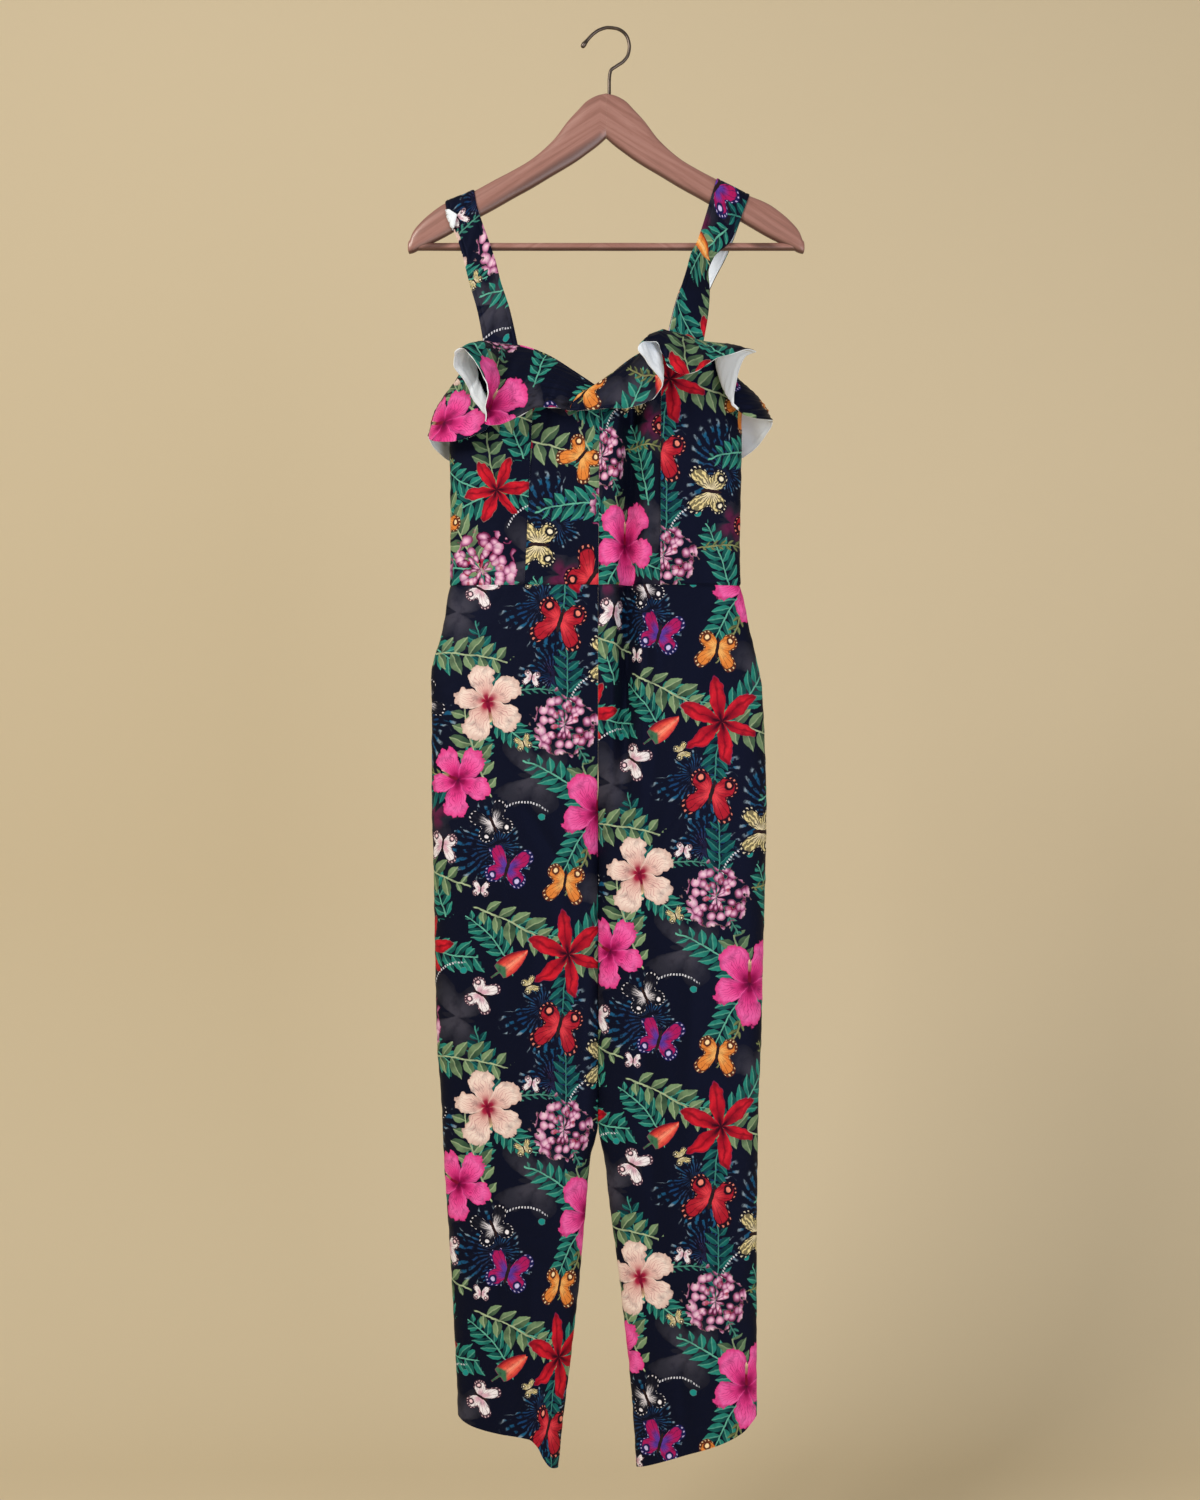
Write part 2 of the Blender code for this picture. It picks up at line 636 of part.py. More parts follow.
def round_bar(name, start, end, radius, sides, collection, material=None):
    """A cylinder between two points."""
    start, end = Vector(start), Vector(end)
    bpy.ops.mesh.primitive_cylinder_add(vertices=sides, radius=radius, depth=(end - start).length)
    bar = bpy.context.object
    bar.name = bar.data.name = name
    bar.matrix_world = (Matrix.Translation((start + end) / 2)
                        @ (end - start).to_track_quat("Z", "Y").to_matrix().to_4x4())
    for owner in list(bar.users_collection):
        owner.objects.unlink(bar)
    collection.objects.link(bar)
    if material:
        bar.data.materials.append(material)
        bar.data.shade_smooth()
        bar.data.set_sharp_from_angle(angle=math.radians(SHARP_ANGLE))
    return bar


def cut(thing, cutter):
    """Cut a hole; the cutter stays as a hidden guide."""
    cutter.hide_render = True
    cutter.display_type = "WIRE"
    socket = thing.modifiers.new(cutter.name, "BOOLEAN")
    socket.object = cutter
    socket.operation = "DIFFERENCE"


def wire_hook(name):
    """The hook: a round wire along a smooth curve through the table's points, ending in a small ball."""
    length = np.concatenate([[0], np.cumsum(np.hypot(np.diff(HOOK["x"]), np.diff(HOOK["drop"])))])
    at = np.linspace(0, length[-1], HOOK_POINTS)
    x, drop, thickness = (smooth(length, HOOK[name], at) for name in ("x", "drop", "thickness"))
    curve = bpy.data.curves.new(name, "CURVE")
    curve.dimensions = "3D"
    curve.bevel_depth = HOOK_RADIUS
    curve.bevel_resolution = 2
    curve.use_fill_caps = True
    spline = curve.splines.new("POLY")
    spline.points.add(HOOK_POINTS - 1)
    for point, px, pz, half in zip(spline.points, x, -drop, thickness):
        point.co = (px, 0, pz, 1)
        point.radius = half / HOOK_RADIUS
    curve.materials.append(gunmetal)
    hook = bpy.data.objects.new(name, curve)
    garment.objects.link(hook)


# ---------------------------------------------------------------- scene
def clear_scene():
    for thing in list(bpy.data.objects):
        bpy.data.objects.remove(thing, do_unlink=True)


def new_collection(name):
    collection = bpy.data.collections.new(name)
    bpy.context.scene.collection.children.link(collection)
    return collection


def new_material(name, colour, roughness, metallic=0.0):
    material = bpy.data.materials.new(name)
    material.use_nodes = True
    shader = material.node_tree.nodes["Principled BSDF"]
    shader.inputs["Base Color"].default_value = (*colour, 1)
    shader.inputs["Roughness"].default_value = roughness
    shader.inputs["Metallic"].default_value = metallic
    return material


# ---------------------------------------------------------------- the object
clear_scene()
garment = new_collection("jumpsuit_on_hanger")
cutters = new_collection("cutters")
crepe = new_material("printed_crepe", (0.012, 0.016, 0.035), 0.75)
beech = new_material("varnished_beech", (0.36, 0.17, 0.11), 0.4)
gunmetal = new_material("gunmetal_wire", (0.06, 0.05, 0.055), 0.35, metallic=1.0)

bodice_panel("bodice_front_side_left", "left", "left_princess", -1, columns=7, rows=7)
bodice_panel("bodice_front_centre_left", "left_princess", "centre", -1, columns=6, rows=7)
bodice_panel("bodice_front_centre_right", "centre", "right_princess", -1, columns=9, rows=7)
bodice_panel("bodice_front_side_right", "right_princess", "right", -1, columns=7, rows=7)
bodice_panel("bodice_back_side_left", "left", "left_princess", 1, columns=6, rows=6)
bodice_panel("bodice_back_centre_left", "left_princess", "centre", 1, columns=5, rows=6)
bodice_panel("bodice_back_centre_right", "centre", "right_princess", 1, columns=5, rows=6)
bodice_panel("bodice_back_side_right", "right_princess", "right", 1, columns=6, rows=6)

for side in ("left", "right"):
    leg_panel(f"leg_front_{side}", side, -1, columns=14, rows=25)
    leg_panel(f"leg_back_{side}", side, 1, columns=9, rows=21)

front_flounce("flounce_front_left", -1, columns=38, rows=6)
front_flounce("flounce_front_right", 1, columns=44, rows=6)
back_flounce("flounce_back_left", -1, columns=20, rows=4)
back_flounce("flounce_back_right", 1, columns=20, rows=4)

strap("strap_left", STRAP_LEFT_FRONT, STRAP_LEFT_BACK, STRAP_LEFT_ENDS, STRAP_LEFT_TOP)
strap("strap_right", STRAP_RIGHT_FRONT, STRAP_RIGHT_BACK, STRAP_RIGHT_ENDS, STRAP_RIGHT_TOP)

arm_left = hanger_arm("hanger_arm_left", -1)
arm_right = hanger_arm("hanger_arm_right", 1)
round_bar("hanger_bar", (HANGER_CENTRE - BAR_HALF_LENGTH, 0, -BAR_DROP),
          (HANGER_CENTRE + BAR_HALF_LENGTH, 0, -BAR_DROP), BAR_RADIUS, 16, garment, beech)
socket_half = BAR_HALF_LENGTH + SOCKET_CLEARANCE
bar_socket = round_bar("bar_socket", (HANGER_CENTRE - socket_half, 0, -BAR_DROP),
                       (HANGER_CENTRE + socket_half, 0, -BAR_DROP),
                       BAR_RADIUS + SOCKET_CLEARANCE, 16, cutters)
cut(arm_left, bar_socket)
cut(arm_right, bar_socket)
wire_hook("hanger_hook")
stem_end = HOOK["drop"][0]
stem_socket = round_bar("stem_socket", (HOOK["x"][0], 0, -stem_end + STEM_ROOM),
                        (HOOK["x"][0], 0, -stem_end - SOCKET_CLEARANCE),
                        HOOK_RADIUS + SOCKET_CLEARANCE, 12, cutters)
cut(arm_right, stem_socket)
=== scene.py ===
"""Looks of a sleeveless printed jumpsuit on a wooden hanger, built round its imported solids.

The frame is the solids' own: metres, +Z up, -Y towards someone who faces the garment, +X to that
person's right, and the origin inside the crown of the hanger's hook. A drop is a distance below it.

Every cloth piece is a thin closed shell. Its printed side is a fine grid worked out from the same
tables as its solid, with finer creases, rolled seam edges and hems added, and its underside is the
same grid moved inwards. The print is laid out flat on the cut cloth and read by the material.
"""
import math

import bpy
import numpy as np
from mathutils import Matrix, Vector


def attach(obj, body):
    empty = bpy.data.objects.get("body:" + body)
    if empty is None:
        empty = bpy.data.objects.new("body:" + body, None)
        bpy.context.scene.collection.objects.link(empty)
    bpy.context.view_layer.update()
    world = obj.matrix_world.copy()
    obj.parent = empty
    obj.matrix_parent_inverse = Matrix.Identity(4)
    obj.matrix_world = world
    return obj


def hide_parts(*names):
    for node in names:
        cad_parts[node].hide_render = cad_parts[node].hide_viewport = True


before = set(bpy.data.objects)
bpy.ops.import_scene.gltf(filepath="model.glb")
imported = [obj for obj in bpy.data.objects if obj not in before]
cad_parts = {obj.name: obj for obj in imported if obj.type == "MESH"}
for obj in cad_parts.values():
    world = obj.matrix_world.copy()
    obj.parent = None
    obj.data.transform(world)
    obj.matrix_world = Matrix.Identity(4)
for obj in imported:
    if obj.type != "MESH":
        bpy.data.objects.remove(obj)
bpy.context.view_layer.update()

MM = 0.001

# ---------------- driving sizes
CLOTH = 1.2 * MM           # thickness of the crepe
STRAP_CLOTH = 1.8 * MM     # two layers of crepe
SEAM = 0.1 * MM            # gap left between two sewn edges, which roll inwards beside it
ROLL_DEPTH = 1.1 * MM      # how far a sewn edge rolls inwards
ROLL_WIDTH = 1.5 * MM
PUCKER = 0.35 * MM         # height of the small waves that a seam's thread draws up beside it
ROUNDNESS = 2.3            # superellipse power of a filled section

WAIST = 632 * MM           # drop of the waist seam
FORK = 925 * MM            # drop where the two leg tubes part
FORK_CURVE = 95 * MM       # height over which the fork seam turns under
FORK_TURN = (0.45, 0.1)    # shares of FORK_CURVE above the fork between which the seam's edge turns
SIDE_TOP = 413 * MM        # drop of the side seams' top
THIGH = 808 * MM           # drop at which a leg's columns are spaced
FOLD_START = (-0.05, 0.12)  # shares of a fold's length over which it sets in and fades out
FOLD_END = (0.55, 1.0)
HEM = 24 * MM              # depth of the blind-stitched leg hems
HEM_STITCH = 8 * MM        # spacing of their stitches
HEM_STEP = 0.35 * MM       # height of the step where the hem's turned cloth ends
HEM_DIMPLE = 0.45 * MM     # depth of a stitch's dimple

FLOUNCE_SEAT = 0.6 * MM    # how far the flounce is sewn below the bodice's top edge
FLOUNCE_GAP = 0.8 * MM     # and how far outside its printed side
FLOUNCE_DEPTH = 75 * MM    # the cloth's usual depth between neck seam and free edge
SIDE_TURN = 0.3            # share of a flounce over which it turns round the side seam
BOW_UP = 1.6               # upward and outward shares of the back flounce's lift
BOW_OUT = 0.8
BACK_SPREAD = 0.8          # power that crowds the back flounce's columns towards the side seam
BACK_NECK = 230 * MM       # length along the neckline by which a back half's columns are spaced
GATHER = 0.5 * MM          # height of the gathers below the flounce's seam
RIPPLE = 1.1 * MM          # height of the ripples towards its free edge
FAINT_RIPPLE = 0.3 * MM    # height of the slanting ones all over it
FLOUNCE_HEM = 5 * MM       # depth of the flounce's turned and stitched edge
FLOUNCE_GROOVE = 0.55 * MM  # depth of its stitched groove
FLOUNCE_FOLD = 0.25 * MM   # height of the hem's rounded fold

STRAP_GAP = 0.3 * MM       # air between strap and hanger arm
STRAP_WIDTH = 39 * MM
STRAP_ROLL = 0.8 * MM      # how far its turned edges roll inwards
STRAP_STITCH = 5 * MM      # from such an edge to its stitching
STRAP_GROOVE = 0.6 * MM    # depth of the stitched groove, and its width
STRAP_FOLD_HEIGHT = 2.6 * MM
HANGER_CENTRE = -1.0 * MM  # the arms' joint
ARM_HALF_THICKNESS = 6.5 * MM
ARM_POWER = 2.6            # superellipse power of an arm's section
TIP_ROUNDING = 2.2 * MM
TIP_TURN = 1.35            # radians by which the tip's closing rings turn over
BAR_DROP = 247 * MM
BAR_RADIUS = 4.5 * MM
BAR_HALF_LENGTH = 213 * MM


def table(columns, *rows):
    """A table in millimetres, read as one array of metres for each named column."""
    values = np.array(rows, dtype=float).T
    return {name: column * MM for name, column in zip(columns.split(), values)}


# ---------------- tables of sections
# Flat width and filled depth of the garment; front and back are measured from the side seams.
BODY = table(
    "drop left right front back",
    (340, -178, 153, 34, 28), (413, -178, 153, 35, 29), (466, -179, 153, 34, 28), (530, -178, 152, 30, 25),
    (590, -178, 151, 25, 22), (632, -179, 152, 23, 21), (650, -182, 156, 24, 22), (672, -185, 160, 26, 24),
    (694, -190, 165, 28, 26), (716, -197, 170, 30, 29), (740, -200, 175, 32, 31), (764, -199, 177, 33, 32),
    (808, -199, 179, 33, 33), (876, -199, 181, 32, 33), (944, -197, 180, 31, 31), (1058, -195, 177, 29, 28),
    (1148, -193, 175, 27, 26), (1216, -188, 172, 26, 25), (1284, -185, 171, 25, 24),
    (1374, -179, 170, 23, 22), (1466, -174, 170, 21, 20), (1570, -169, 170, 19, 18),
    (1640, -167, 170, 18, 17),
)

# Inner edges of the two legs: close together down to mid-thigh, then apart to the hems.
INSEAM = table(
    "drop left right",
    (600, -10.3, -10.2), (830, -10.3, -10.2), (880, -9.4, -11.1), (1000, -9.4, -11.1), (1240, -9.7, -10.8),
    (1284, -19, -3), (1330, -23, 2), (1374, -27, 8), (1420, -31, 14), (1466, -36, 19), (1510, -41, 24),
    (1556, -47, 28), (1600, -52, 31), (1640, -56, 34),
)

# Top edge of the bodice's front, from the side seams up over the cups and down to the centre seam.
NECK_LEFT = table(
    "x drop",
    (-178, 413), (-170, 399), (-157, 381), (-140, 367), (-120, 362), (-97, 365), (-69, 375), (-36, 395),
    (-9, 413),
)
NECK_RIGHT = table(
    "x drop",
    (-9, 413), (9, 394), (33, 376), (59, 365), (91, 359), (111, 363), (127, 376), (143, 395), (153, 412),
)
NECK_BACK = table("x drop", (-178, 413), (-90, 408), (-10, 407), (70, 408), (153, 412))

# Bodice seams of the front and the back, at two drops; they lean a little.
PANEL_SEAMS = table(
    "drop left_princess centre right_princess",
    (400, -82, -8.5, 61), (632, -93, -9.8, 60),
)

# Slanted hems: drop across each leg. A share is of the way from side seam to inseam, in thousandths.
HEM_LEFT = table(
    "share drop",
    (0, 1571), (50, 1576), (150, 1581), (400, 1588), (680, 1594), (770, 1603), (850, 1619), (930, 1629),
    (1000, 1631),
)
HEM_RIGHT = table("share drop", (0, 1571), (40, 1577), (120, 1588), (300, 1600), (640, 1614), (1000, 1630))

# Large soft folds of the front: a positive depth is a trough, a negative one a ridge.
FRONT_FOLDS = table(
    "top_drop end_drop top_x end_x half_width depth",
    (395, 960, 30, 17, 10, 9), (395, 900, 6, 3, 10, -3), (395, 920, 52, 40, 12, -4),
    (400, 700, -88, -92, 12, 3), (930, 1330, -34, -44, 13, 5), (960, 1400, 30, 52, 16, 3),
    (760, 1250, 120, 132, 20, 2.5), (700, 1200, -140, -128, 22, 2.5),
)
BACK_FOLDS = table(
    "top_drop end_drop top_x end_x half_width depth",
    (415, 900, -60, -48, 14, 6), (415, 820, 46, 40, 14, 5), (860, 1340, -70, -86, 16, 4),
    (900, 1380, 70, 86, 16, 4),
)

# Finer creases, as the large ones above: a positive depth is a trough, a negative one a ridge.
FRONT_CREASES = table(
    "top_drop end_drop top_x end_x half_width depth",
    (398, 1010, 29, 14, 8, 8.0), (398, 940, 12, 1, 6, -3.0), (398, 900, 48, 36, 8, -3.4),
    (396, 560, 68, 62, 5, 1.6), (560, 900, 60, 44, 8, 1.8), (396, 520, -30, -27, 5, 1.5),
    (398, 500, -66, -70, 5, 1.4), (420, 640, -58, -50, 5, 0.9), (430, 600, -128, -134, 7, 1),
    (400, 560, 88, 96, 6, 1.1), (470, 660, 116, 108, 6, -0.9), (520, 700, -30, -24, 5, -0.8),
    (600, 780, -164, -140, 9, 2.2), (640, 800, 120, 96, 8, 1.9), (650, 900, -60, -36, 7, 3.0),
    (700, 980, 66, 40, 9, 2.8), (880, 1010, -90, -20, 9, 2.6), (880, 1020, 84, 4, 9, 2.6),
    (940, 1180, -120, -126, 9, -1.9), (1010, 1300, -66, -80, 8, 1.8), (1040, 1330, 96, 88, 9, -1.9),
    (1100, 1420, 36, 62, 8, 1.9), (1230, 1500, -136, -120, 8, 2.1), (1290, 1540, 132, 120, 8, 2.1),
    (1400, 1640, -84, -96, 7, -1.8), (1420, 1640, 76, 92, 7, 1.8),
)
BACK_CREASES = table(
    "top_drop end_drop top_x end_x half_width depth",
    (430, 620, -120, -128, 8, 1.2), (430, 640, 100, 96, 7, 1.1), (560, 760, -20, -34, 8, 1.3),
    (600, 820, 130, 110, 9, 2.2), (640, 860, -150, -120, 9, 2.4), (880, 1030, -100, -24, 10, 2.9),
    (880, 1030, 92, 8, 10, 2.9), (1000, 1280, -110, -116, 9, -1.9), (1060, 1350, 110, 100, 9, 1.9),
    (1200, 1500, -70, -90, 8, 2.1), (1260, 1560, 60, 84, 8, -1.9), (1400, 1640, -110, -104, 8, 1.8),
    (1430, 1640, 120, 112, 8, 1.8),
)

# Free edge of the front flounce. Each row belongs to a share of the neckline, in thousandths, and y is
# its depth. The cloth between the neckline and the free edge is bowed: up, forward and sway push it away
# from the straight line, upwards, to the front and to the right.
FLOUNCE_LEFT = table(
    "share x drop y up forward sway",
    (0, -203, 462, -0.2, 8, 0, -7), (22, -202, 466, -12, 7, 5, -8), (42, -192, 472, -27, 12, 12, -7),
    (58, -174, 474, -38, 19, 16, -7), (72, -151, 469, -43, 17, 14, 2), (84, -134, 461, -44, 15, 16, 9),
    (100, -129, 451, -45, 13, 18, 17), (125, -138, 440, -47, 10, 18, 22), (150, -148, 431, -49, 8, 14, 22),
    (215, -158, 410, -55, 4, 4, 18), (270, -169, 394, -66, 5, 3, 13), (318, -168, 383, -80, 8, 4, 8),
    (352, -158, 381, -90, 11, 6, 3), (390, -142, 398, -92, 14, 7, 0), (440, -131, 421, -84, 16, 8, 0),
    (500, -132, 444, -74, 16, 8, 0), (550, -135, 459, -66, 18, 9, 0), (610, -121, 459, -62, 19, 10, 0),
    (680, -102, 451, -60, 19, 10, 0), (770, -80, 440, -58, 18, 9, -2), (870, -58, 439, -56, 14, 7, -6),
    (940, -47, 441, -53, 12, 6, -9), (1000, -42.3, 442, -51, 12, 6, -10),
)
FLOUNCE_RIGHT = table(
    "share x drop y up forward sway",
    (0, -41.7, 442, -51, 12, 6, -10), (70, -22, 441, -53, 13, 6, -10), (150, 6, 440, -56, 15, 7, -7),
    (210, 32, 438, -60, 18, 9, 0), (260, 52, 430, -66, 20, 10, 9), (300, 59, 417, -74, 22, 11, 17),
    (335, 52, 405, -84, 22, 11, 20), (370, 41, 394, -92, 21, 10, 16), (400, 33, 383, -97, 18, 9, 8),
    (430, 40, 374, -94, 19, 10, 0), (460, 52, 373, -88, 25, 13, 0), (490, 60, 386, -87, 33, 17, 0),
    (520, 67, 401, -90, 40, 20, 0), (555, 80, 409, -92, 38, 19, 0), (590, 95, 406, -90, 29, 14, 0),
    (625, 110, 396, -84, 19, 10, 0), (660, 125, 387, -77, 14, 7, 0), (690, 144, 380, -69, 11, 5, 0),
    (708, 157, 376, -62, 9, 4, -5), (724, 165, 377, -55, 6, 3, -12), (740, 154, 381, -48, 4, 2, -19),
    (780, 145, 403, -42, 0, 0, -24), (825, 141, 430, -40, 0, 2, -18), (880, 156, 446, -41, 12, 8, -4),
    (930, 174, 448, -34, 16, 8, 0), (970, 185, 447, -18, 14, 4, 5), (1000, 188, 446, -0.2, 12, 0, 7),
)
# Free edge of the back flounce, measured from its own seam: sideways, outwards and downwards.
FLOUNCE_BACK = table(
    "share sideways outwards down lift",
    (0, 0, 20, 55, 9), (120, 3, 16, 66, 8), (230, 1, 24, 74, 8), (330, -5, 32, 72, 10),
    (440, 0, 46, 64, 14), (550, 5, 27, 74, 9), (660, 1, 24, 76, 8), (770, -5, 38, 68, 12),
    (880, 0, 40, 66, 12), (1000, 0, 25, 74, 9),
)

# Straps, from the hanger arm down: their edges, and how far each stands out from the hanger's plane.
STRAP_LEFT_FRONT = table(
    "drop left right left_out right_out",
    (216, -180, -148, 8.9, 8.9), (244, -168, -133, 9.2, 9.4), (265, -162, -126, 12, 13),
    (289, -156, -120, 16, 17), (324, -146, -109, 24, 25),
)
STRAP_RIGHT_FRONT = table(
    "drop left right left_out right_out",
    (220, 120, 156, 8.9, 8.9), (243, 102, 140, 15, 9.4), (262, 94, 121, 28, 11), (280, 90, 115, 35, 14),
    (298, 84, 116, 36, 18), (326, 75, 114, 32, 26),
)
STRAP_LEFT_BACK = table(
    "drop left right left_out right_out",
    (216, -175, -149, 8.9, 8.9), (248, -162, -137, 9.4, 9.4), (300, -150, -118, 16, 17),
    (360, -136, -103, 24, 25),
)
STRAP_RIGHT_BACK = table(
    "drop left right left_out right_out",
    (220, 121, 156, 8.9, 8.9), (250, 102, 139, 9.4, 9.4), (300, 80, 115, 17, 16), (360, 65, 103, 25, 24),
)
STRAP_LEFT_ENDS = table("front_left front_right back_left back_right", (-138, -100, -129, -94))
STRAP_RIGHT_ENDS = table("front_left front_right back_left back_right", (67, 108, 53, 92))
STRAP_LEFT_TOP = table("left right", (-184, -151))
STRAP_RIGHT_TOP = table("left right", (125, 162))

# One hanger arm, from the centre joint out to its tip.
ARM = table(
    "out top bottom half_thickness",
    (0.03, 73, 124, 6.5), (9, 75, 132, 6.5), (21, 81, 141, 6.5), (32, 92, 149, 6.5), (43, 104, 156, 6.5),
    (60, 126, 166, 6.5), (85, 148, 181, 6.5), (105, 160, 192, 6.5), (126, 171, 204, 6.5),
    (152, 185, 218, 6.5), (183, 198, 236, 6.5), (199, 209, 244, 6.5), (211, 220, 250, 6.4),
    (219, 230, 254, 6.0), (223, 240, 255, 5.0),
)

# Centre line of the hook's wire, from the wood up round the crown to the ball at its tip; the
# thickness is half of the wire's, as the arm's is half of the wood's.
HOOK = table(
    "x drop thickness",
    (2.5, 90, 1.9), (2.5, 60, 1.9), (2.9, 53, 1.9), (4.2, 47, 1.9), (10.5, 42, 1.9),
    (18.5, 36.5, 1.9), (23.8, 29, 1.9), (25.4, 20, 1.9), (23.6, 10.5, 1.9), (18.2, 3.0, 1.9),
    (10, -1.0, 1.9), (1.0, -1.9, 1.9), (-8, 0.4, 1.9), (-15.5, 5.2, 1.9), (-21, 10.8, 1.9),
    (-24, 14.4, 2.3), (-26, 17.0, 2.9), (-27.6, 19.4, 2.6), (-28.7, 21.2, 1.3),
)


# ---------------- curves through a table's rows
def smooth(keys, values, at):
    """Cubic through the rows with no overshoot: level at a turn, else the harmonic mean slope beside it."""
    secant = np.diff(values) / np.diff(keys)
    before, after = secant[:-1], secant[1:]
    same_way = before * after > 0
    inside = np.zeros(len(before))
    inside[same_way] = 2 / (1 / before[same_way] + 1 / after[same_way])
    slopes = np.concatenate([secant[:1], inside, secant[-1:]])
    row = np.clip(np.searchsorted(keys, at) - 1, 0, len(keys) - 2)
    step = keys[row + 1] - keys[row]
    t = np.clip((at - keys[row]) / step, 0, 1)
    start = (2 * t**3 - 3 * t**2 + 1) * values[row] + (t**3 - 2 * t**2 + t) * step * slopes[row]
    end = (3 * t**2 - 2 * t**3) * values[row + 1] + (t**3 - t**2) * step * slopes[row + 1]
    return start + end


def read(rows, names, at):
    """Columns of a table, read at any value of its first column."""
    found = [smooth(next(iter(rows.values())), rows[name], at) for name in names.split()]
    return found if len(found) > 1 else found[0]


def between(low, high, share):
    return low + (high - low) * share


def ramp(low, high, at):
    """0 below low, 1 above high, with a soft start and end."""
    t = np.clip((at - low) / (high - low), 0, 1)
    return t * t * (3 - 2 * t)


def bell(offset, width):
    """1 at no offset, fading to 0 within about two widths on either side."""
    return np.exp(-((offset / width) ** 2))


def waves(at, *periods):
    """Uneven waves: a sum of sines whose periods share no common step, scaled to about 1."""
    total = sum(np.sin(at * 2 * math.pi / period + 1.7 * n) for n, period in enumerate(periods))
    return total / len(periods) ** 0.5


def run_along(*axes):
    """Distance along a line of points, from its start."""
    return np.concatenate([[0], np.cumsum(np.linalg.norm([np.diff(axis) for axis in axes], axis=0))])


def stations(length, spacing, close=(0, 0.5, 1.1, 1.9, 3.0)):
    """Shares from 0 to 1 about spacing apart, with a few closer ones (close, in mm) beside each end."""
    close = np.array(close) * MM
    inner = np.linspace(close[-1], length - close[-1], max(4, int(length / spacing)))
    return np.concatenate([close[:-1], inner, length - close[-2::-1]]) / length


def oval(x, low, high):
    """Depth share of a filled section at x: 0 at its two edges and 1 midway."""
    across = np.clip(np.abs((2 * x - low - high) / (high - low)), 0, 1)
    return (1 - across**ROUNDNESS) ** (1 / ROUNDNESS)


def folds(rows, x, drop):
    """Sum of the soft troughs and ridges: each is a bell across, faded in and out along its length."""
    total = np.zeros(np.shape(x))
    for top, end, top_x, end_x, half_width, depth in zip(*rows.values()):
        along = (drop - top) / (end - top)
        fade = ramp(*FOLD_START, along) * (1 - ramp(*FOLD_END, along))
        total = total + depth * fade * bell(x - between(top_x, end_x, along), half_width)
    return total


# ---------------- shells
ACROSS, DEPTH, UP = np.eye(3)
EDGES = {
    "first": (slice(None), 0), "last": (slice(None), -1), "top": (0, slice(None)), "end": (-1, slice(None)),
}


def points(x, y, z):
    return np.stack(np.broadcast_arrays(x, y, z), axis=-1)


def unit(vectors):
    return vectors / np.maximum(np.linalg.norm(vectors, axis=-1, keepdims=True), 1e-12)


def grid_normals(grid):
    """Outward direction at each grid point: columns run anticlockwise seen from above and rows run down."""
    return unit(np.cross(np.gradient(grid, axis=0), np.gradient(grid, axis=1)))


def raised(grid, rise):
    """The grid moved outwards by rise."""
    return grid + grid_normals(grid) * rise[..., None]


def distance_along(grid, axis):
    """Distance from the first row or column, measured over the cloth."""
    steps = np.linalg.norm(np.diff(grid, axis=axis), axis=-1)
    start = np.zeros_like(np.take(steps, [0], axis=axis))
    return np.concatenate([start, np.cumsum(steps, axis=axis)], axis=axis)


def relief(grid, sewn, seed):
    """The grid with its sewn edges rolled inwards and drawn into small waves beside the thread."""
    across, down = distance_along(grid, 1), distance_along(grid, 0)
    from_edge = {"first": across, "last": across[:, -1:] - across, "top": down, "end": down[-1:] - down}
    rise = np.zeros(grid.shape[:2])
    for edge in sewn:
        away = from_edge[edge]
        along = (down if edge in ("first", "last") else across) + seed
        rise -= ROLL_DEPTH * bell(away, ROLL_WIDTH)
        pucker = waves(along, 17 * MM, 27 * MM, 44 * MM) * ramp(0, 3 * MM, away) * np.exp(-away / (9 * MM))
        rise += PUCKER * pucker
    return raised(grid, rise)


def inner_side(grid, thickness, held):
    """The grid moved inwards by thickness. An edge keeps its place along its held direction."""
    normal = grid_normals(grid)
    for edge, direction in held.items():
        along = np.sum(normal[EDGES[edge]] * direction, axis=-1, keepdims=True)
        normal[EDGES[edge]] = unit(normal[EDGES[edge]] - along * direction)
    return grid - normal * np.broadcast_to(thickness, grid.shape[:2])[..., None]


def grid_faces(index):
    """Quads of a grid of vertex numbers, facing outwards."""
    return np.stack([index[:-1, :-1], index[1:, :-1], index[1:, 1:], index[:-1, 1:]], -1).reshape(-1, 4)


def new_mesh(name, corners, faces, *materials):
    mesh = bpy.data.meshes.new(name)
    mesh.from_pydata(corners.reshape(-1, 3).tolist(), [], faces)
    for material in materials:
        mesh.materials.append(material)
    return mesh


def in_scene(name, data):
    """A new object in the scene, at the origin."""
    made = bpy.data.objects.new(name, data)
    bpy.context.scene.collection.objects.link(made)
    return made


def finished(mesh, node, sharp_angle):
    """Shades a mesh smooth but for its sharp edges, and puts it in the place of its CAD node."""
    mesh.shade_smooth()
    mesh.set_sharp_from_angle(angle=math.radians(sharp_angle))
    piece = in_scene(mesh.name, mesh)
    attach(piece, "root")
    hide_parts(node)
    return piece


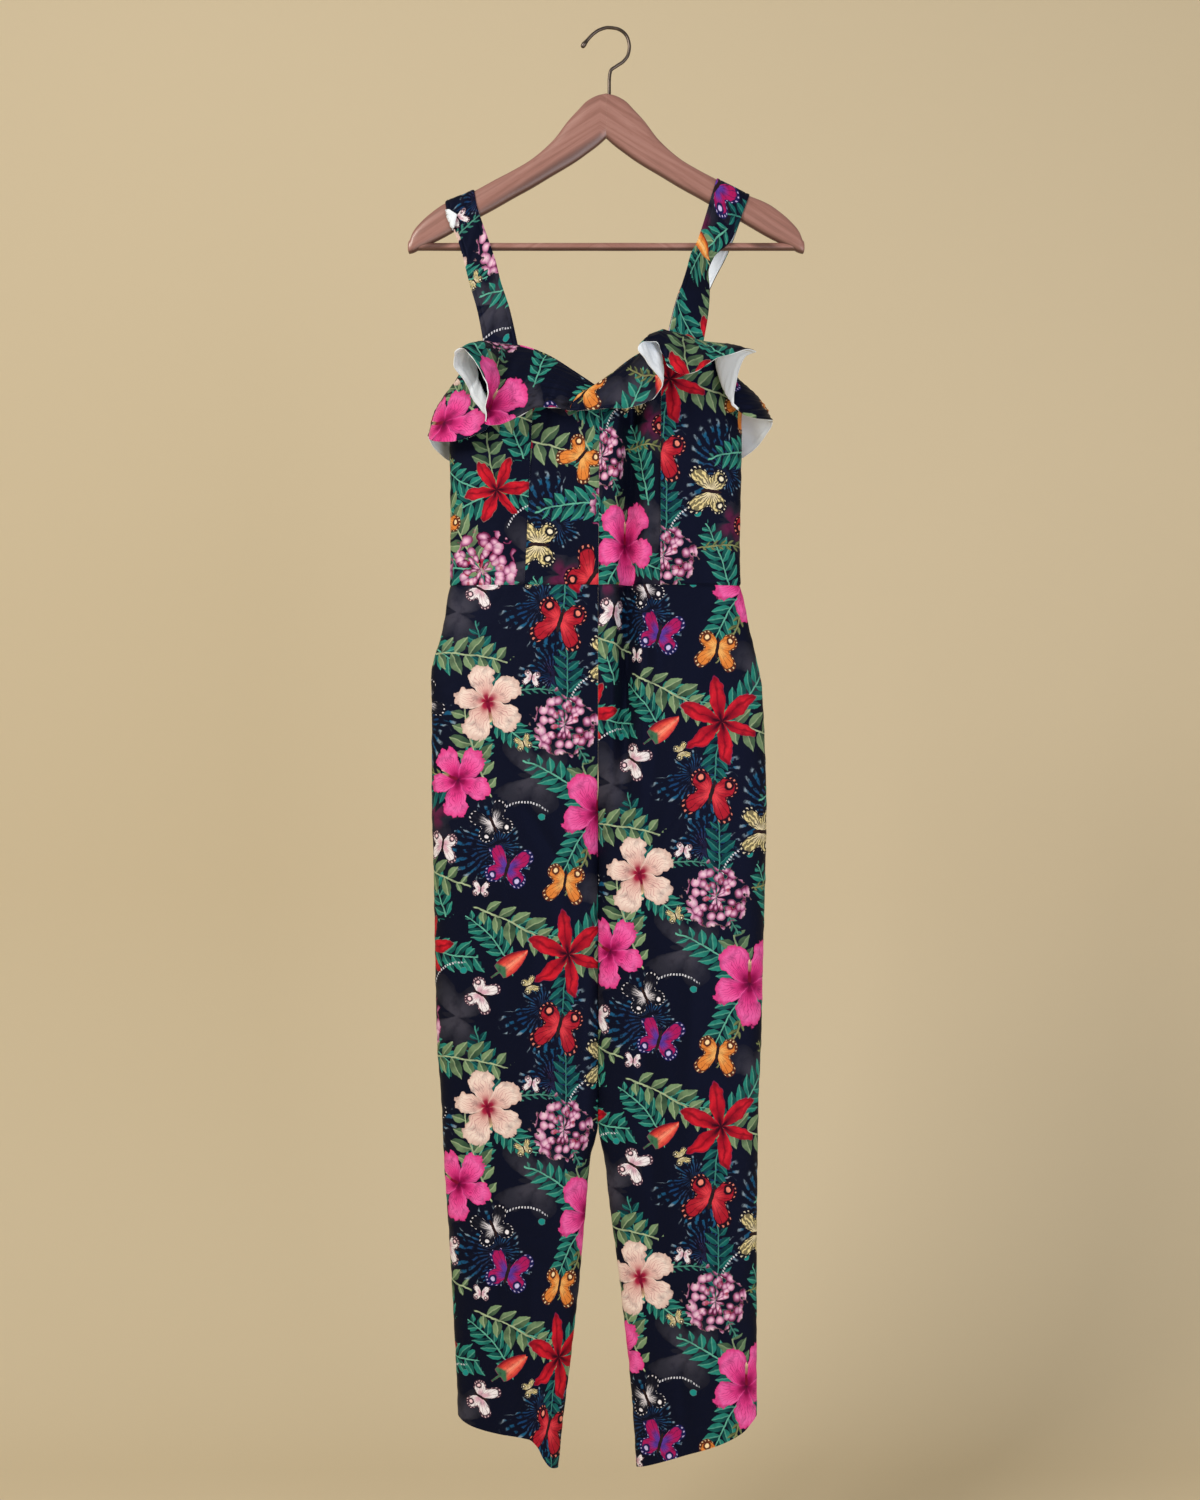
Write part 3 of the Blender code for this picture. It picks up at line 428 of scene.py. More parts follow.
def sewn_piece(node, grid, cloth, thickness, held, cut_from, bare_hem=False):
    """A closed cloth shell with its print laid out, and its flat cut kept as a UV map.

    The printed side is the grid, the underside is the grid moved inwards and a rim joins them. cloth
    is each grid point's place on the flat cloth, in metres, and cut_from is where on the printed
    repeat the piece was cut. Each print layer's motif coordinates go to the face corners. A bare hem
    shows the undyed cloth along its very fold, where the ink does not reach.
    """
    rows, columns = grid.shape[:2]
    count = rows * columns
    outer = np.arange(count).reshape(rows, columns)
    rim = np.concatenate([outer[0], outer[1:, -1], outer[-1, -2::-1], outer[-2:0:-1, 0]])
    there = np.roll(rim, -1)
    rim_faces = np.stack([rim, there, there + count, rim + count], axis=-1)
    faces = np.concatenate([grid_faces(outer), grid_faces(outer + count)[:, ::-1], rim_faces])
    corners = np.stack([grid, inner_side(grid, thickness, held)])
    mesh = new_mesh(node + "_cloth", corners, faces.tolist(), crepe, crepe_underside)
    inside = np.zeros(len(faces), dtype=np.int32)
    printed = (rows - 1) * (columns - 1)
    inside[printed:2 * printed] = 1
    if bare_hem:
        hem_starts = 2 * printed + rows + columns - 2
        inside[hem_starts:hem_starts + columns - 1] = 1
    mesh.polygons.foreach_set("material_index", inside)
    places = cloth.reshape(-1, 2)[faces % count]
    flat = mesh.uv_layers.new(name="flat_cloth")
    flat.uv.foreach_set("vector", places.astype(np.float32).ravel())
    for layer, motifs in PRINT.items():
        told = mesh.attributes.new(layer, "FLOAT_VECTOR", "CORNER")
        found = motif_coordinates(places, motifs, np.array(cut_from) * MM)
        told.data.foreach_set("vector", found.astype(np.float32).ravel())
    piece = finished(mesh, node, 45)


# ---------------- the body's surface
def surface_y(share, x, drop, facing):
    """Depth of the printed side, from its share of the full depth: facing is -1 in front and 1 behind."""
    depth = read(BODY, "front" if facing < 0 else "back", drop)
    large, fine = (FRONT_FOLDS, FRONT_CREASES) if facing < 0 else (BACK_FOLDS, BACK_CREASES)
    crease = folds(large, x, drop) + folds(fine, x, drop)
    return facing * (SEAM / 2 + share * (depth - crease))


def body_y(x, drop, facing):
    return surface_y(oval(x, *read(BODY, "left right", drop)), x, drop, facing)


def neck_drop(x, facing):
    """Drop of the bodice's top edge."""
    if facing > 0:
        return read(NECK_BACK, "drop", x)
    return np.where(x < NECK_LEFT["x"][-1], read(NECK_LEFT, "drop", x), read(NECK_RIGHT, "drop", x))


def seam_x(line, drop, side):
    """Where a bodice seam stands at a drop; side is -1 or 1 for the piece to its left or right."""
    if line in ("left", "right"):
        return read(BODY, line, drop)
    return np.interp(drop, PANEL_SEAMS["drop"], PANEL_SEAMS[line]) + side * SEAM / 2


def even_shares(low, high, drop, facing, spacing):
    """Shares of the way from low to high that lie evenly spaced over the cloth at one drop."""
    fine = np.linspace(0, 1, 400)
    x = between(low, high, fine)
    run = run_along(x, body_y(x, drop, facing))
    return np.interp(stations(run[-1], spacing), run / run[-1], fine)[None]


def flat_places(grid):
    """A panel's places on the flat cloth: down is the drop, and across is measured over the cloth
    from the panel's middle column, which keeps its own x as the grain line."""
    across = distance_along(grid, 1)
    middle = grid.shape[1] // 2
    run = grid[:, middle:middle + 1, 0]
    turned = 1 if grid[0, -1, 0] > grid[0, 0, 0] else -1
    return np.stack([turned * (across - across[:, middle:middle + 1]) + run, -grid[..., 2]], axis=-1)


def bodice_panel(name, first, last, facing, cut_from, spacing=3.0 * MM):
    """One bodice panel between two seam lines, given from left to right."""
    middle_drop = (SIDE_TOP + WAIST) / 2
    low = seam_x(first, middle_drop, 1)
    share = even_shares(low, seam_x(last, middle_drop, -1), middle_drop, facing, spacing)
    top = neck_drop(between(seam_x(first, SIDE_TOP, 1), seam_x(last, SIDE_TOP, -1), share), facing)
    drop = between(top, WAIST - SEAM / 2, stations(WAIST - top.mean(), spacing)[:, None])
    x = between(seam_x(first, drop, 1), seam_x(last, drop, -1), share)
    grid = points(x, body_y(x, drop, facing), -drop)[:, ::-facing]
    held = [DEPTH if first == "left" else ACROSS, DEPTH if last == "right" else ACROSS][::-facing]
    sewn_piece(name, relief(grid, ("first", "last", "end"), abs(low)), flat_places(grid), CLOTH,
               {"first": held[0], "last": held[1], "top": UP, "end": UP}, cut_from)


def hem_relief(grid, above):
    """A blind hem seen from outside: a faint step where the turned cloth ends, dimpled at each stitch."""
    step = HEM_STEP * (1 - ramp(HEM - 2 * MM, HEM + 2 * MM, above))
    stitch = 0.5 + 0.5 * np.cos(grid[..., 0] * 2 * math.pi / HEM_STITCH)
    return raised(grid, step - HEM_DIMPLE * bell(above - HEM, 2 * MM) * stitch**4)


def leg_panel(name, side, facing, cut_from, spacing=3.6 * MM):
    """Front or back of one leg, from the waist seam to the hem and from side seam to inseam.

    Above the fork the panel is half of the body's section. Over FORK_CURVE it turns into the leg's
    own section, whose inner edge comes back to the plane of the side seams.
    """
    top = WAIST + SEAM / 2
    low = read(BODY, side, THIGH)
    share = even_shares(low, read(INSEAM, side, THIGH), THIGH, facing, spacing)
    end = read(HEM_LEFT if side == "left" else HEM_RIGHT, "drop", share)
    drop = between(top, end, stations(end.mean() - top, spacing)[:, None])
    outer, inner = read(BODY, side, drop), read(INSEAM, side, drop)
    x = between(outer, inner, share)
    whole = oval(x, *read(BODY, "left right", drop))
    leg = oval(x, np.minimum(outer, inner), np.maximum(outer, inner))
    forked = ramp(FORK - FORK_CURVE, FORK, drop)
    grid = points(x, surface_y(between(whole, leg, forked), x, drop, facing), -drop)
    turn = ramp(*(FORK - FORK_CURVE * above for above in FORK_TURN), drop[:, 0]) * math.pi / 2
    right = 1 if side == "right" else -1
    held = [DEPTH, points(np.cos(turn), right * facing * np.sin(turn), 0)][::right * facing]
    grid, above = grid[:, ::right * facing], (end - drop)[:, ::right * facing]
    sewn_piece(name, relief(hem_relief(grid, above), ("first", "last", "top"), abs(low)), flat_places(grid),
               CLOTH * (1 + 0.9 * (1 - ramp(HEM - MM, HEM + MM, above))),
               {"first": held[0], "last": held[1], "top": UP, "end": UP}, cut_from)


# ---------------- the flounce
# Small flutes of the flounce's free edge, between the large ones: where along the neckline, how wide
# (both in thousandths of it), and how far each pushes the edge out and down.
FLUTES_LEFT = table(
    "share width out down",
    (118, 16, 3.0, 1.0), (190, 14, -2.5, 0.5), (455, 20, 3.5, 1.5), (525, 18, -3.0, -1.0),
    (585, 22, 3.0, 1.5), (648, 20, -2.5, 0.0), (725, 26, 3.5, 2.0), (815, 24, -3.0, -1.0),
    (905, 26, 2.5, 1.0), (962, 18, -2.0, -0.5),
)
FLUTES_RIGHT = table(
    "share width out down",
    (40, 18, 2.5, 1.0), (110, 20, -2.5, -0.5), (180, 18, 3.0, 1.5), (238, 14, -2.5, -1.0),
    (507, 12, 2.0, 0.5), (572, 14, -2.5, 0.0), (608, 12, 2.0, 1.0), (642, 13, -2.0, -0.5),
    (905, 18, 2.0, 1.0),
)
# Where along the neckline the free edge is turned over and lies smooth, and how far, for each side.
SMOOTH_TURN = {-1: (0.16, 0.12), 1: (0.76, 0.09)}


def outward_at(from_side, side, facing):
    """Level direction away from the body: sideways at the side seam, then forwards or backwards."""
    turn = (1 - ramp(0, SIDE_TURN, from_side)) * math.pi / 2
    return points(side * np.sin(turn), facing * np.cos(turn), 0)


def sewn_points(x, drop, outward, facing):
    """Where the flounce meets the bodice, FLOUNCE_GAP outside its printed side."""
    return points(x, body_y(x, drop, facing), -drop - FLOUNCE_SEAT) + outward * FLOUNCE_GAP


def gathered_piece(node, sewn, free, push, held, cut_from, rows, ripple, seed, turned=False):
    """Sews on a flounce half. Its rows run from the neckline out to the free edge, and a push bows the
    cloth between the two: each point is (1 - t)^2 sewn + 2t(1 - t) bow + t^2 free.

    The needle leaves gathers that fade below the seam, ripples that grow towards the free edge (ripple
    is their share by column) and the narrow turned hem with its stitched groove.
    """
    t = stations(FLOUNCE_DEPTH, FLOUNCE_DEPTH / rows)
    out = t[:, None, None]
    grid = (1 - out) ** 2 * sewn + 2 * out * (1 - out) * ((sewn + free) / 2 + push) + out**2 * free
    if turned:
        grid = grid[:, ::-1]
    down, run = distance_along(grid, 0), distance_along(grid, 1)
    middle_row = run[len(grid) // 2]
    cloth = np.stack(np.broadcast_arrays((middle_row - middle_row[-1] / 2)[None], down), axis=-1)
    along, to_edge = run + seed, down[-1:] - down
    gathers = GATHER * waves(along, 13 * MM, 21 * MM, 37 * MM) * np.exp(-down / (13 * MM))
    rise = gathers * ramp(0, 3 * MM, down) - ROLL_DEPTH * bell(down, ROLL_WIDTH)
    rise += RIPPLE * waves(along, 31 * MM, 47 * MM) * ramp(0.35, 1.0, t)[:, None] * ripple
    rise += FAINT_RIPPLE * waves(along + 2 * down, 23 * MM, 39 * MM) * ripple
    rise -= FLOUNCE_GROOVE * bell(to_edge - FLOUNCE_HEM, 0.9 * MM)
    rise += FLOUNCE_FOLD * bell(to_edge - 1.5 * MM, 1.6 * MM)
    sewn_piece(node, raised(grid, rise), cloth, CLOTH, held, cut_from, bare_hem=True)


def front_flounce(name, side, cut_from, spacing=2.2 * MM):
    """One front half. Its tables run from left to right, so the left one starts at the side seam."""
    neck, edge, flutes = (NECK_LEFT, FLOUNCE_LEFT, FLUTES_LEFT) if side < 0 else (
        NECK_RIGHT, FLOUNCE_RIGHT, FLUTES_RIGHT)
    row = np.arange(len(edge["share"]))
    fine = smooth(row, edge["share"], np.linspace(0, row[-1], 1200))
    run = run_along(*read(edge, "x y drop", fine))
    share = np.interp(stations(run[-1], spacing) * run[-1], run, fine)
    length = run_along(neck["x"], neck["drop"])
    x, drop = (smooth(length / length[-1], neck[axis], share) for axis in ("x", "drop"))
    x[-1 if side < 0 else 0] += side * SEAM / 2
    outward = outward_at(share if side < 0 else 1 - share, side, -1)
    edge_x, edge_y, edge_drop, sway, forward, up = read(edge, "x y drop sway forward up", share)
    free = points(edge_x, edge_y, -edge_drop)
    for at, width, out, down in zip(*flutes.values()):
        free += bell(share - at, width)[:, None] * (out * outward - down * UP)
    held = {"first": DEPTH, "last": ACROSS} if side < 0 else {"first": ACROSS, "last": DEPTH}
    turn, width = SMOOTH_TURN[side]
    gathered_piece(name, sewn_points(x, drop, outward, -1), free, points(sway, -forward, up),
                   {**held, "top": outward}, cut_from, rows=46,
                   ripple=1 - 0.95 * bell(share - turn, width), seed=0.5 + 0.3 * side)


def back_flounce(name, side, cut_from, spacing=2.6 * MM):
    """One back half. Near the side seam its free edge runs into the front half's end."""
    share = stations(BACK_NECK, spacing)
    end = 0 if side < 0 else -1
    middle = NECK_BACK["x"][2] + side * SEAM / 2
    x = middle + (NECK_BACK["x"][end] - middle) * np.cos(share * math.pi / 2) ** BACK_SPREAD
    outward = outward_at(share, side, 1)
    sewn = sewn_points(x, neck_drop(x, 1), outward, 1)
    sideways, outwards, down, lift = (part[:, None] for part in read(
        FLOUNCE_BACK, "sideways outwards down lift", share))
    free = sewn + outwards * outward + sideways * side * ACROSS - down * UP
    front = FLOUNCE_LEFT if side < 0 else FLOUNCE_RIGHT
    meeting = np.array([front["x"][end], -front["y"][end], -front["drop"][end]])
    free += (meeting - free[0]) * (1 - ramp(0, SIDE_TURN, share))[:, None]
    held = {"first": ACROSS, "last": DEPTH} if side < 0 else {"first": DEPTH, "last": ACROSS}
    gathered_piece(name, sewn, free, lift * (BOW_UP * UP + BOW_OUT * outward),
                   {**held, "top": outward[::side]}, cut_from, rows=36, ripple=1.0, seed=1.5 + 0.3 * side,
                   turned=side < 0)


# ---------------- the straps
def sewn_end(left, right, across, facing):
    """A strap's end, SEAM above the bodice's top edge."""
    x = between(left, right, across)
    drop = neck_drop(x, facing)
    return points(x, body_y(x, drop, facing), SEAM - drop)[None]


def level_rows(rows, across, facing):
    """The rows of a strap below the hanger arm, from the highest down."""
    drop, left, right, left_out, right_out = (values[1:, None] for values in rows.values())
    return points(between(left, right, across), facing * between(left_out, right_out, across), -drop)


def bulge(value):
    """A circle's coordinate, pushed out to the superellipse of the hanger arm's section."""
    return np.sign(value) * np.abs(value) ** (2 / ARM_POWER)


def rows_over_arm(front, back, top, across, count=24):
    """The rows that lie on the arm: its own section, enlarged by the strap and the gap under it."""
    turn = np.linspace(0, math.pi, count + 1)[:, None]
    left, right = (between(np.where(turn < math.pi / 2, back[edge][0], front[edge][0]), top[edge],
                           bulge(np.sin(turn))) for edge in ("left", "right"))
    x = between(left, right, across)
    high, low = read(ARM, "top bottom", np.abs(x - HANGER_CENTRE))
    around = STRAP_GAP + STRAP_CLOTH
    return points(x, (ARM_HALF_THICKNESS + around) * bulge(np.cos(turn)),
                  ((low - high) / 2 + around) * bulge(np.sin(turn)) - (high + low) / 2)


def resample(grid, spacing):
    """The same strip with its rows evenly spaced along a smooth curve through the given ones."""
    run = distance_along(grid, 0)[:, grid.shape[1] // 2]
    at = np.linspace(0, run[-1], int(run[-1] / spacing))
    flat = grid.reshape(len(grid), -1)
    return np.stack([smooth(run, line, at) for line in flat.T], axis=-1).reshape(len(at), *grid.shape[1:])


def turned_edge(grid, place, reach, width):
    """Turns the first edge of the strap's front over its face about one drop, so that a small
    triangle of the underside shows there and the visible edge keeps its line."""
    wide = distance_along(grid, 1)
    turned = width * np.clip(1 - abs(-grid[:, :1, 2] - place) / reach, 0, 1) * (grid[:, :1, 1] < 0)
    total = wide[:, -1:]
    moved = np.where(wide < turned, turned - wide, (wide - turned) * total / (total - turned))
    along = unit(grid[:, -1:] - grid[:, :1])
    lifted = STRAP_FOLD_HEIGHT * ramp(0, 1.5 * MM, turned - wide)
    return grid + along * (moved - wide)[..., None] - DEPTH * lifted[..., None]


def strap(name, front, back, ends, top, cut_from, fold=None, spacing=2.2 * MM):
    """A strap from the back's top edge over the hanger arm and down to the front's top edge.

    It is a band with its long edges turned under: they are rolled and a stitched groove runs beside each.
    """
    across = stations(STRAP_WIDTH, spacing, close=(0, 0.5, 1.1, 1.9, 3.4, 4.3, 5.0, 5.7, 6.6))
    grid = resample(np.concatenate([
        sewn_end(ends["back_left"], ends["back_right"], across, 1),
        level_rows(back, across, 1)[::-1],
        rows_over_arm(front, back, top, across),
        level_rows(front, across, -1),
        sewn_end(ends["front_left"], ends["front_right"], across, -1),
    ]), spacing)
    wide, long = distance_along(grid, 1), distance_along(grid, 0)
    from_edge = np.minimum(wide, wide[:, -1:] - wide)
    rise = -STRAP_ROLL * bell(from_edge, 0.9 * MM)
    rise -= STRAP_GROOVE * bell(from_edge - STRAP_STITCH, STRAP_GROOVE)
    rise += 0.3 * MM * waves(long + wide, 19 * MM, 34 * MM) * ramp(0, 4 * MM, from_edge)
    grid = raised(grid, rise)
    if fold:
        grid = turned_edge(grid, *fold)
    sewn_piece(name, grid, np.stack([wide, long], axis=-1), STRAP_CLOTH, {"top": UP, "end": UP}, cut_from)


# ---------------- the hanger
def round_turn(sides):
    """Angles round a section."""
    return np.linspace(0, 2 * math.pi, sides, endpoint=False)


def closed_loft(name, node, rings, material, sharp_angle=40):
    """A solid from rings of points, each end closed by a fan to its own middle."""
    count, sides = rings.shape[:2]
    index = np.arange(count * sides).reshape(count, sides)
    onward = np.roll(index, -1, axis=1)
    walls = np.stack([index[:-1], onward[:-1], onward[1:], index[1:]], axis=-1).reshape(-1, 4)
    first, last = np.full(sides, count * sides), np.full(sides, count * sides + 1)
    caps = np.concatenate([np.stack([first, onward[0], index[0]], axis=-1),
                           np.stack([last, index[-1], onward[-1]], axis=-1)])
    corners = np.concatenate([rings.reshape(-1, 3), rings[:1].mean(axis=1), rings[-1:].mean(axis=1)])
    finished(new_mesh(name, corners, walls.tolist() + caps.tolist(), material), node, sharp_angle)


def hanger_arm(name, side, steps=190, sides=48):
    """One sanded wooden arm: superellipse sections from the centre joint out to the tip, where a few
    closing rings round it over."""
    turn = round_turn(sides)
    out = np.linspace(ARM["out"][0], ARM["out"][-1], steps)[:, None]
    top, bottom, half = read(ARM, "top bottom half_thickness", out)
    rings = points(HANGER_CENTRE + side * out, half * bulge(np.cos(turn)),
                   (bottom - top) / 2 * bulge(np.sin(turn)) - (top + bottom) / 2)
    centre = rings[-1].mean(axis=0)
    over = np.linspace(0, TIP_TURN, 7)[1:, None, None]
    tips = centre + (rings[-1] - centre) * np.cos(over) + side * TIP_ROUNDING * np.sin(over) * ACROSS
    rings = np.concatenate([rings, tips])[:, ::-side]
    closed_loft(name + "_wood", name, rings, varnished_beech)


def hanger_bar(sides=32, steps=60):
    """The round wooden bar between the arms, a little uneven as a turned dowel is."""
    turn = round_turn(sides)
    along = np.linspace(-BAR_HALF_LENGTH, BAR_HALF_LENGTH, steps)[:, None]
    radius = BAR_RADIUS + 0.08 * MM * waves(along, 90 * MM, 140 * MM)
    rings = points(HANGER_CENTRE + along, radius * np.sin(turn), radius * np.cos(turn) - BAR_DROP)
    closed_loft("hanger_bar_wood", "hanger_bar", rings, varnished_beech)


def wire_hook(sides=24, steps=260):
    """The hook's wire: rings square to a smooth curve through the table's points, closed at its ball."""
    length = run_along(HOOK["x"], HOOK["drop"])
    at = np.linspace(0, length[-1], steps)
    x, drop, radius = (smooth(length, HOOK[part], at) for part in ("x", "drop", "thickness"))
    to_tip = np.clip((length[-1] - at) / HOOK["thickness"][-1], 0, 1)
    radius = (radius * np.sqrt(1 - (1 - to_tip) ** 2).clip(0.15))[:, None, None]
    line = points(x, 0, -drop)
    beside = np.cross(unit(np.gradient(line, axis=0)), DEPTH)
    turn = round_turn(sides)[None, :, None]
    rings = line[:, None] + radius * (np.cos(turn) * beside[:, None] + np.sin(turn) * DEPTH)
    closed_loft("hanger_hook_wire", "hanger_hook", rings, gunmetal_plate, sharp_angle=60)


# ---------------- the print's repeat
# One repeat of the printed cloth. Each layer lists its motifs: kind, tone, radius in mm and how many.
# The kinds and tones are read by the ink functions further down.
REPEAT = np.array([0.340, 0.455])
SCATTER_SEED = 5
SCATTER_TRIES = 320
UNEVEN = 22 * MM           # how far chance outweighs an even spacing
MOTIF_MARGIN = 1.12        # a face belongs to a motif up to this many of its radii away
BRANCH_FROM = 0.72         # a branch's middle, in its own radii from the bloom that it grows behind
# kind, tone, radius in mm and how many, then how many branches of each branch layer grow behind each.
BLOOMS = [
    (1, 0.10, 54, 1, (3, 2)), (1, 0.30, 46, 1, (2, 1)), (1, 0.70, 49, 1, (2, 1)), (2, 0.20, 56, 1, (2, 1)),
    (2, 0.60, 44, 1, (2, 1)), (3, 0.20, 47, 1, (2, 1)), (3, 0.60, 40, 1, (1, 1)), (4, 0.20, 27, 2, (1, 0)),
    (4, 0.70, 24, 1, (0, 1)),
]
WINGS_LOOSE = [
    (1, 0.05, 40, 2), (1, 0.25, 32, 2), (1, 0.45, 34, 2), (1, 0.75, 36, 1), (1, 0.60, 25, 2),
    (1, 0.95, 30, 2), (1, 0.62, 13, 3), (1, 0.78, 13, 2),
]
SHADES = [(1, 0.20, 56, 4), (2, 0.30, 66, 4), (1, 0.70, 46, 3), (2, 0.70, 50, 2)]
BRANCHES = {
    "spray": ((1, 0.15, 62), (1, 0.35, 54), (1, 0.05, 48), (1, 0.25, 56)),
    "frond": ((1, 0.60, 68), (1, 0.87, 60), (1, 0.80, 60), (1, 0.95, 50)),
}
LOOSE_BRANCHES = {"spray": [(1, 0.30, 52, 3), (1, 0.10, 44, 2)],
                  "frond": [(1, 0.90, 54, 2), (1, 0.70, 62, 3), (2, 0.40, 30, 3)]}


def torus_distance(points, to):
    """Distance on the endless repeat, which meets itself at its edges."""
    gap = np.abs(points - to)
    return np.linalg.norm(np.minimum(gap, REPEAT - gap), axis=-1)


def motif(at, radius, code, turn):
    return {"at": at, "radius": radius * MM, "code": code, "turn": turn}


def place_motifs(random, motifs, keep_from):
    """Places motifs, the largest first, each at the try that lies clearest of the others, give or take
    some chance, so that the cloth has crowded and open stretches."""
    done = []
    for kind, tone, radius, count in sorted(motifs, key=lambda row: -row[2]):
        for _ in range(count):
            tries = random.random((SCATTER_TRIES, 2)) * REPEAT
            room = random.random(SCATTER_TRIES) * UNEVEN
            for other in done + keep_from:
                gap = torus_distance(tries, other["at"]) - 0.8 * (other["radius"] + radius * MM)
                room = room + np.minimum(gap, 0)
            done.append(motif(tries[np.argmax(room)], radius, kind + tone, random.random() * 2 * math.pi))
    return done


def branches_behind(random, blooms, layer, number):
    """Sprays that grow out from behind their blooms, spread round each by a whole turn's share."""
    done, kinds = [], BRANCHES[layer]
    for bloom, row in blooms:
        count = row[4][number]
        start = random.random() * 2 * math.pi
        for branch in range(count):
            kind, tone, radius = kinds[len(done) % len(kinds)]
            turn = start + branch * 2 * math.pi / max(count, 1) * 0.8 + number * 1.9
            at = bloom["at"] + BRANCH_FROM * radius * MM * np.array([math.cos(turn), math.sin(turn)])
            done.append(motif(at % REPEAT, radius, kind + tone, turn))
    return done


def scatter_print():
    """One repeat: blooms with branches behind them, butterflies in the gaps, dim wings under all."""
    random = np.random.default_rng(SCATTER_SEED)
    rows = [row for row in sorted(BLOOMS, key=lambda row: -row[2]) for _ in range(row[3])]
    blooms = place_motifs(random, [row[:4] for row in BLOOMS], [])
    placed = {"bloom": blooms, "wing": place_motifs(random, WINGS_LOOSE, blooms)}
    for number, layer in enumerate(BRANCHES):
        grown = branches_behind(random, list(zip(blooms, rows)), layer, number)
        placed[layer] = grown + place_motifs(random, LOOSE_BRANCHES[layer], grown + placed["wing"])
    placed["shade"] = place_motifs(random, SHADES, placed["spray"])
    return {layer: placed[layer] for layer in INKS}


def motif_coordinates(places, placed, offset):
    """For each face corner, the place inside the motif that covers its face, and that motif's code.

    The place is in the motif's own radius. The face goes to the motif whose centre is nearest, in
    radii, and a face that no motif covers gets a place far outside.
    """
    corner = places + offset
    middle = corner.mean(axis=1)
    nearest = np.full(len(middle), 9.0)
    found = np.full(corner.shape[:2] + (3,), 9.0)
    low, high = middle.min(axis=0), middle.max(axis=0)
    for at, radius, code, turn in (motif.values() for motif in placed):
        reach = radius * MOTIF_MARGIN
        cos, sin = math.cos(turn), math.sin(turn)
        first = np.ceil((low - reach - at) / REPEAT).astype(int)
        last = np.floor((high + reach - at) / REPEAT).astype(int)
        for across in range(first[0], last[0] + 1):
            for along in range(first[1], last[1] + 1):
                step = middle - at - REPEAT * (across, along)
                near = np.flatnonzero((np.abs(step) < reach).all(axis=1))
                away = np.linalg.norm(step[near], axis=1) / radius
                closer = (away < MOTIF_MARGIN) & (away < nearest[near])
                mine = near[closer]
                nearest[mine] = away[closer]
                place = (corner[mine] - at - REPEAT * (across, along)) / radius
                found[mine, :, 0] = place[..., 0] * cos + place[..., 1] * sin
                found[mine, :, 1] = place[..., 1] * cos - place[..., 0] * sin
                found[mine, :, 2] = code
    return found


# ---------------- shader arithmetic
def linear(hex_colour):
    """An sRGB hex colour as the linear RGBA that a shader takes."""
    values = np.array([int(hex_colour[i:i + 2], 16) for i in (1, 3, 5)]) / 255
    curve = np.where(values <= 0.04045, values / 12.92, ((values + 0.055) / 1.055) ** 2.4)
    return (*map(float, curve), 1.0)


def fit(node, inputs):
    """Fills a node's inputs: a term or a socket is linked, a hex colour or a value is set."""
    for key, value in inputs.items():
        if isinstance(value, Term):
            value = value.socket
        if isinstance(value, bpy.types.NodeSocket):
            node.id_data.links.new(value, node.inputs[key])
        else:
            node.inputs[key].default_value = linear(value) if isinstance(value, str) else value


def add_node(tree, kind, settings=None, inputs=None):
    """Adds a node, gives it its settings and fills its inputs."""
    made = tree.nodes.new(kind)
    for name, value in (settings or {}).items():
        setattr(made, name, value)
    fit(made, inputs or {})
    return made


class Term:
    """A number that the shader works out; arithmetic on terms adds Math nodes."""

    def __init__(self, tree, socket):
        self.tree = tree
        self.socket = socket

    def calc(self, operation, *values):
        made = add_node(self.tree, "ShaderNodeMath", {"operation": operation}, dict(enumerate(values)))
        return Term(self.tree, made.outputs[0])

    def rise(self, low, high):
        """0 at low and 1 at high, soft at both; with high below low it falls instead."""
        made = add_node(self.tree, "ShaderNodeMapRange", {"interpolation_type": "SMOOTHSTEP"},
                        {"Value": self, "From Min": low, "From Max": high})
        return Term(self.tree, made.outputs["Result"])

    def scramble(self, seed):
        """A number from 0 to 1 that jumps about from one whole number to the next."""
        return ((self * 12.99 + seed * 4.7).sine() * 437.58).fraction()

    def through(self, colours, *places, blend="LINEAR"):
        """The colour that a ramp of hex colours at these places gives at this number."""
        made = add_node(self.tree, "ShaderNodeValToRGB", None, {"Fac": self})
        stops = made.color_ramp
        stops.interpolation = blend
        for place in places[2:]:
            stops.elements.new(place)
        for element, place, colour in zip(stops.elements, places, colours.split()):
            element.position = place
            element.color = linear(colour)
        return made.outputs["Color"]

    def picks(self, colours, *places):
        """The hex colour whose place was passed last at this number."""
        return self.through(colours, *places, blend="CONSTANT")

    def profile(self, *heights):
        """The height of a smooth curve through (place, height) points, at this number."""
        made = add_node(self.tree, "ShaderNodeFloatCurve", None, {"Value": self})
        curve = made.mapping.curves[0]
        for _ in heights[2:]:
            curve.points.new(0.5, 0.5)
        for point, place in zip(curve.points, heights):
            point.location = place
        made.mapping.update()
        return Term(self.tree, made.outputs["Value"])


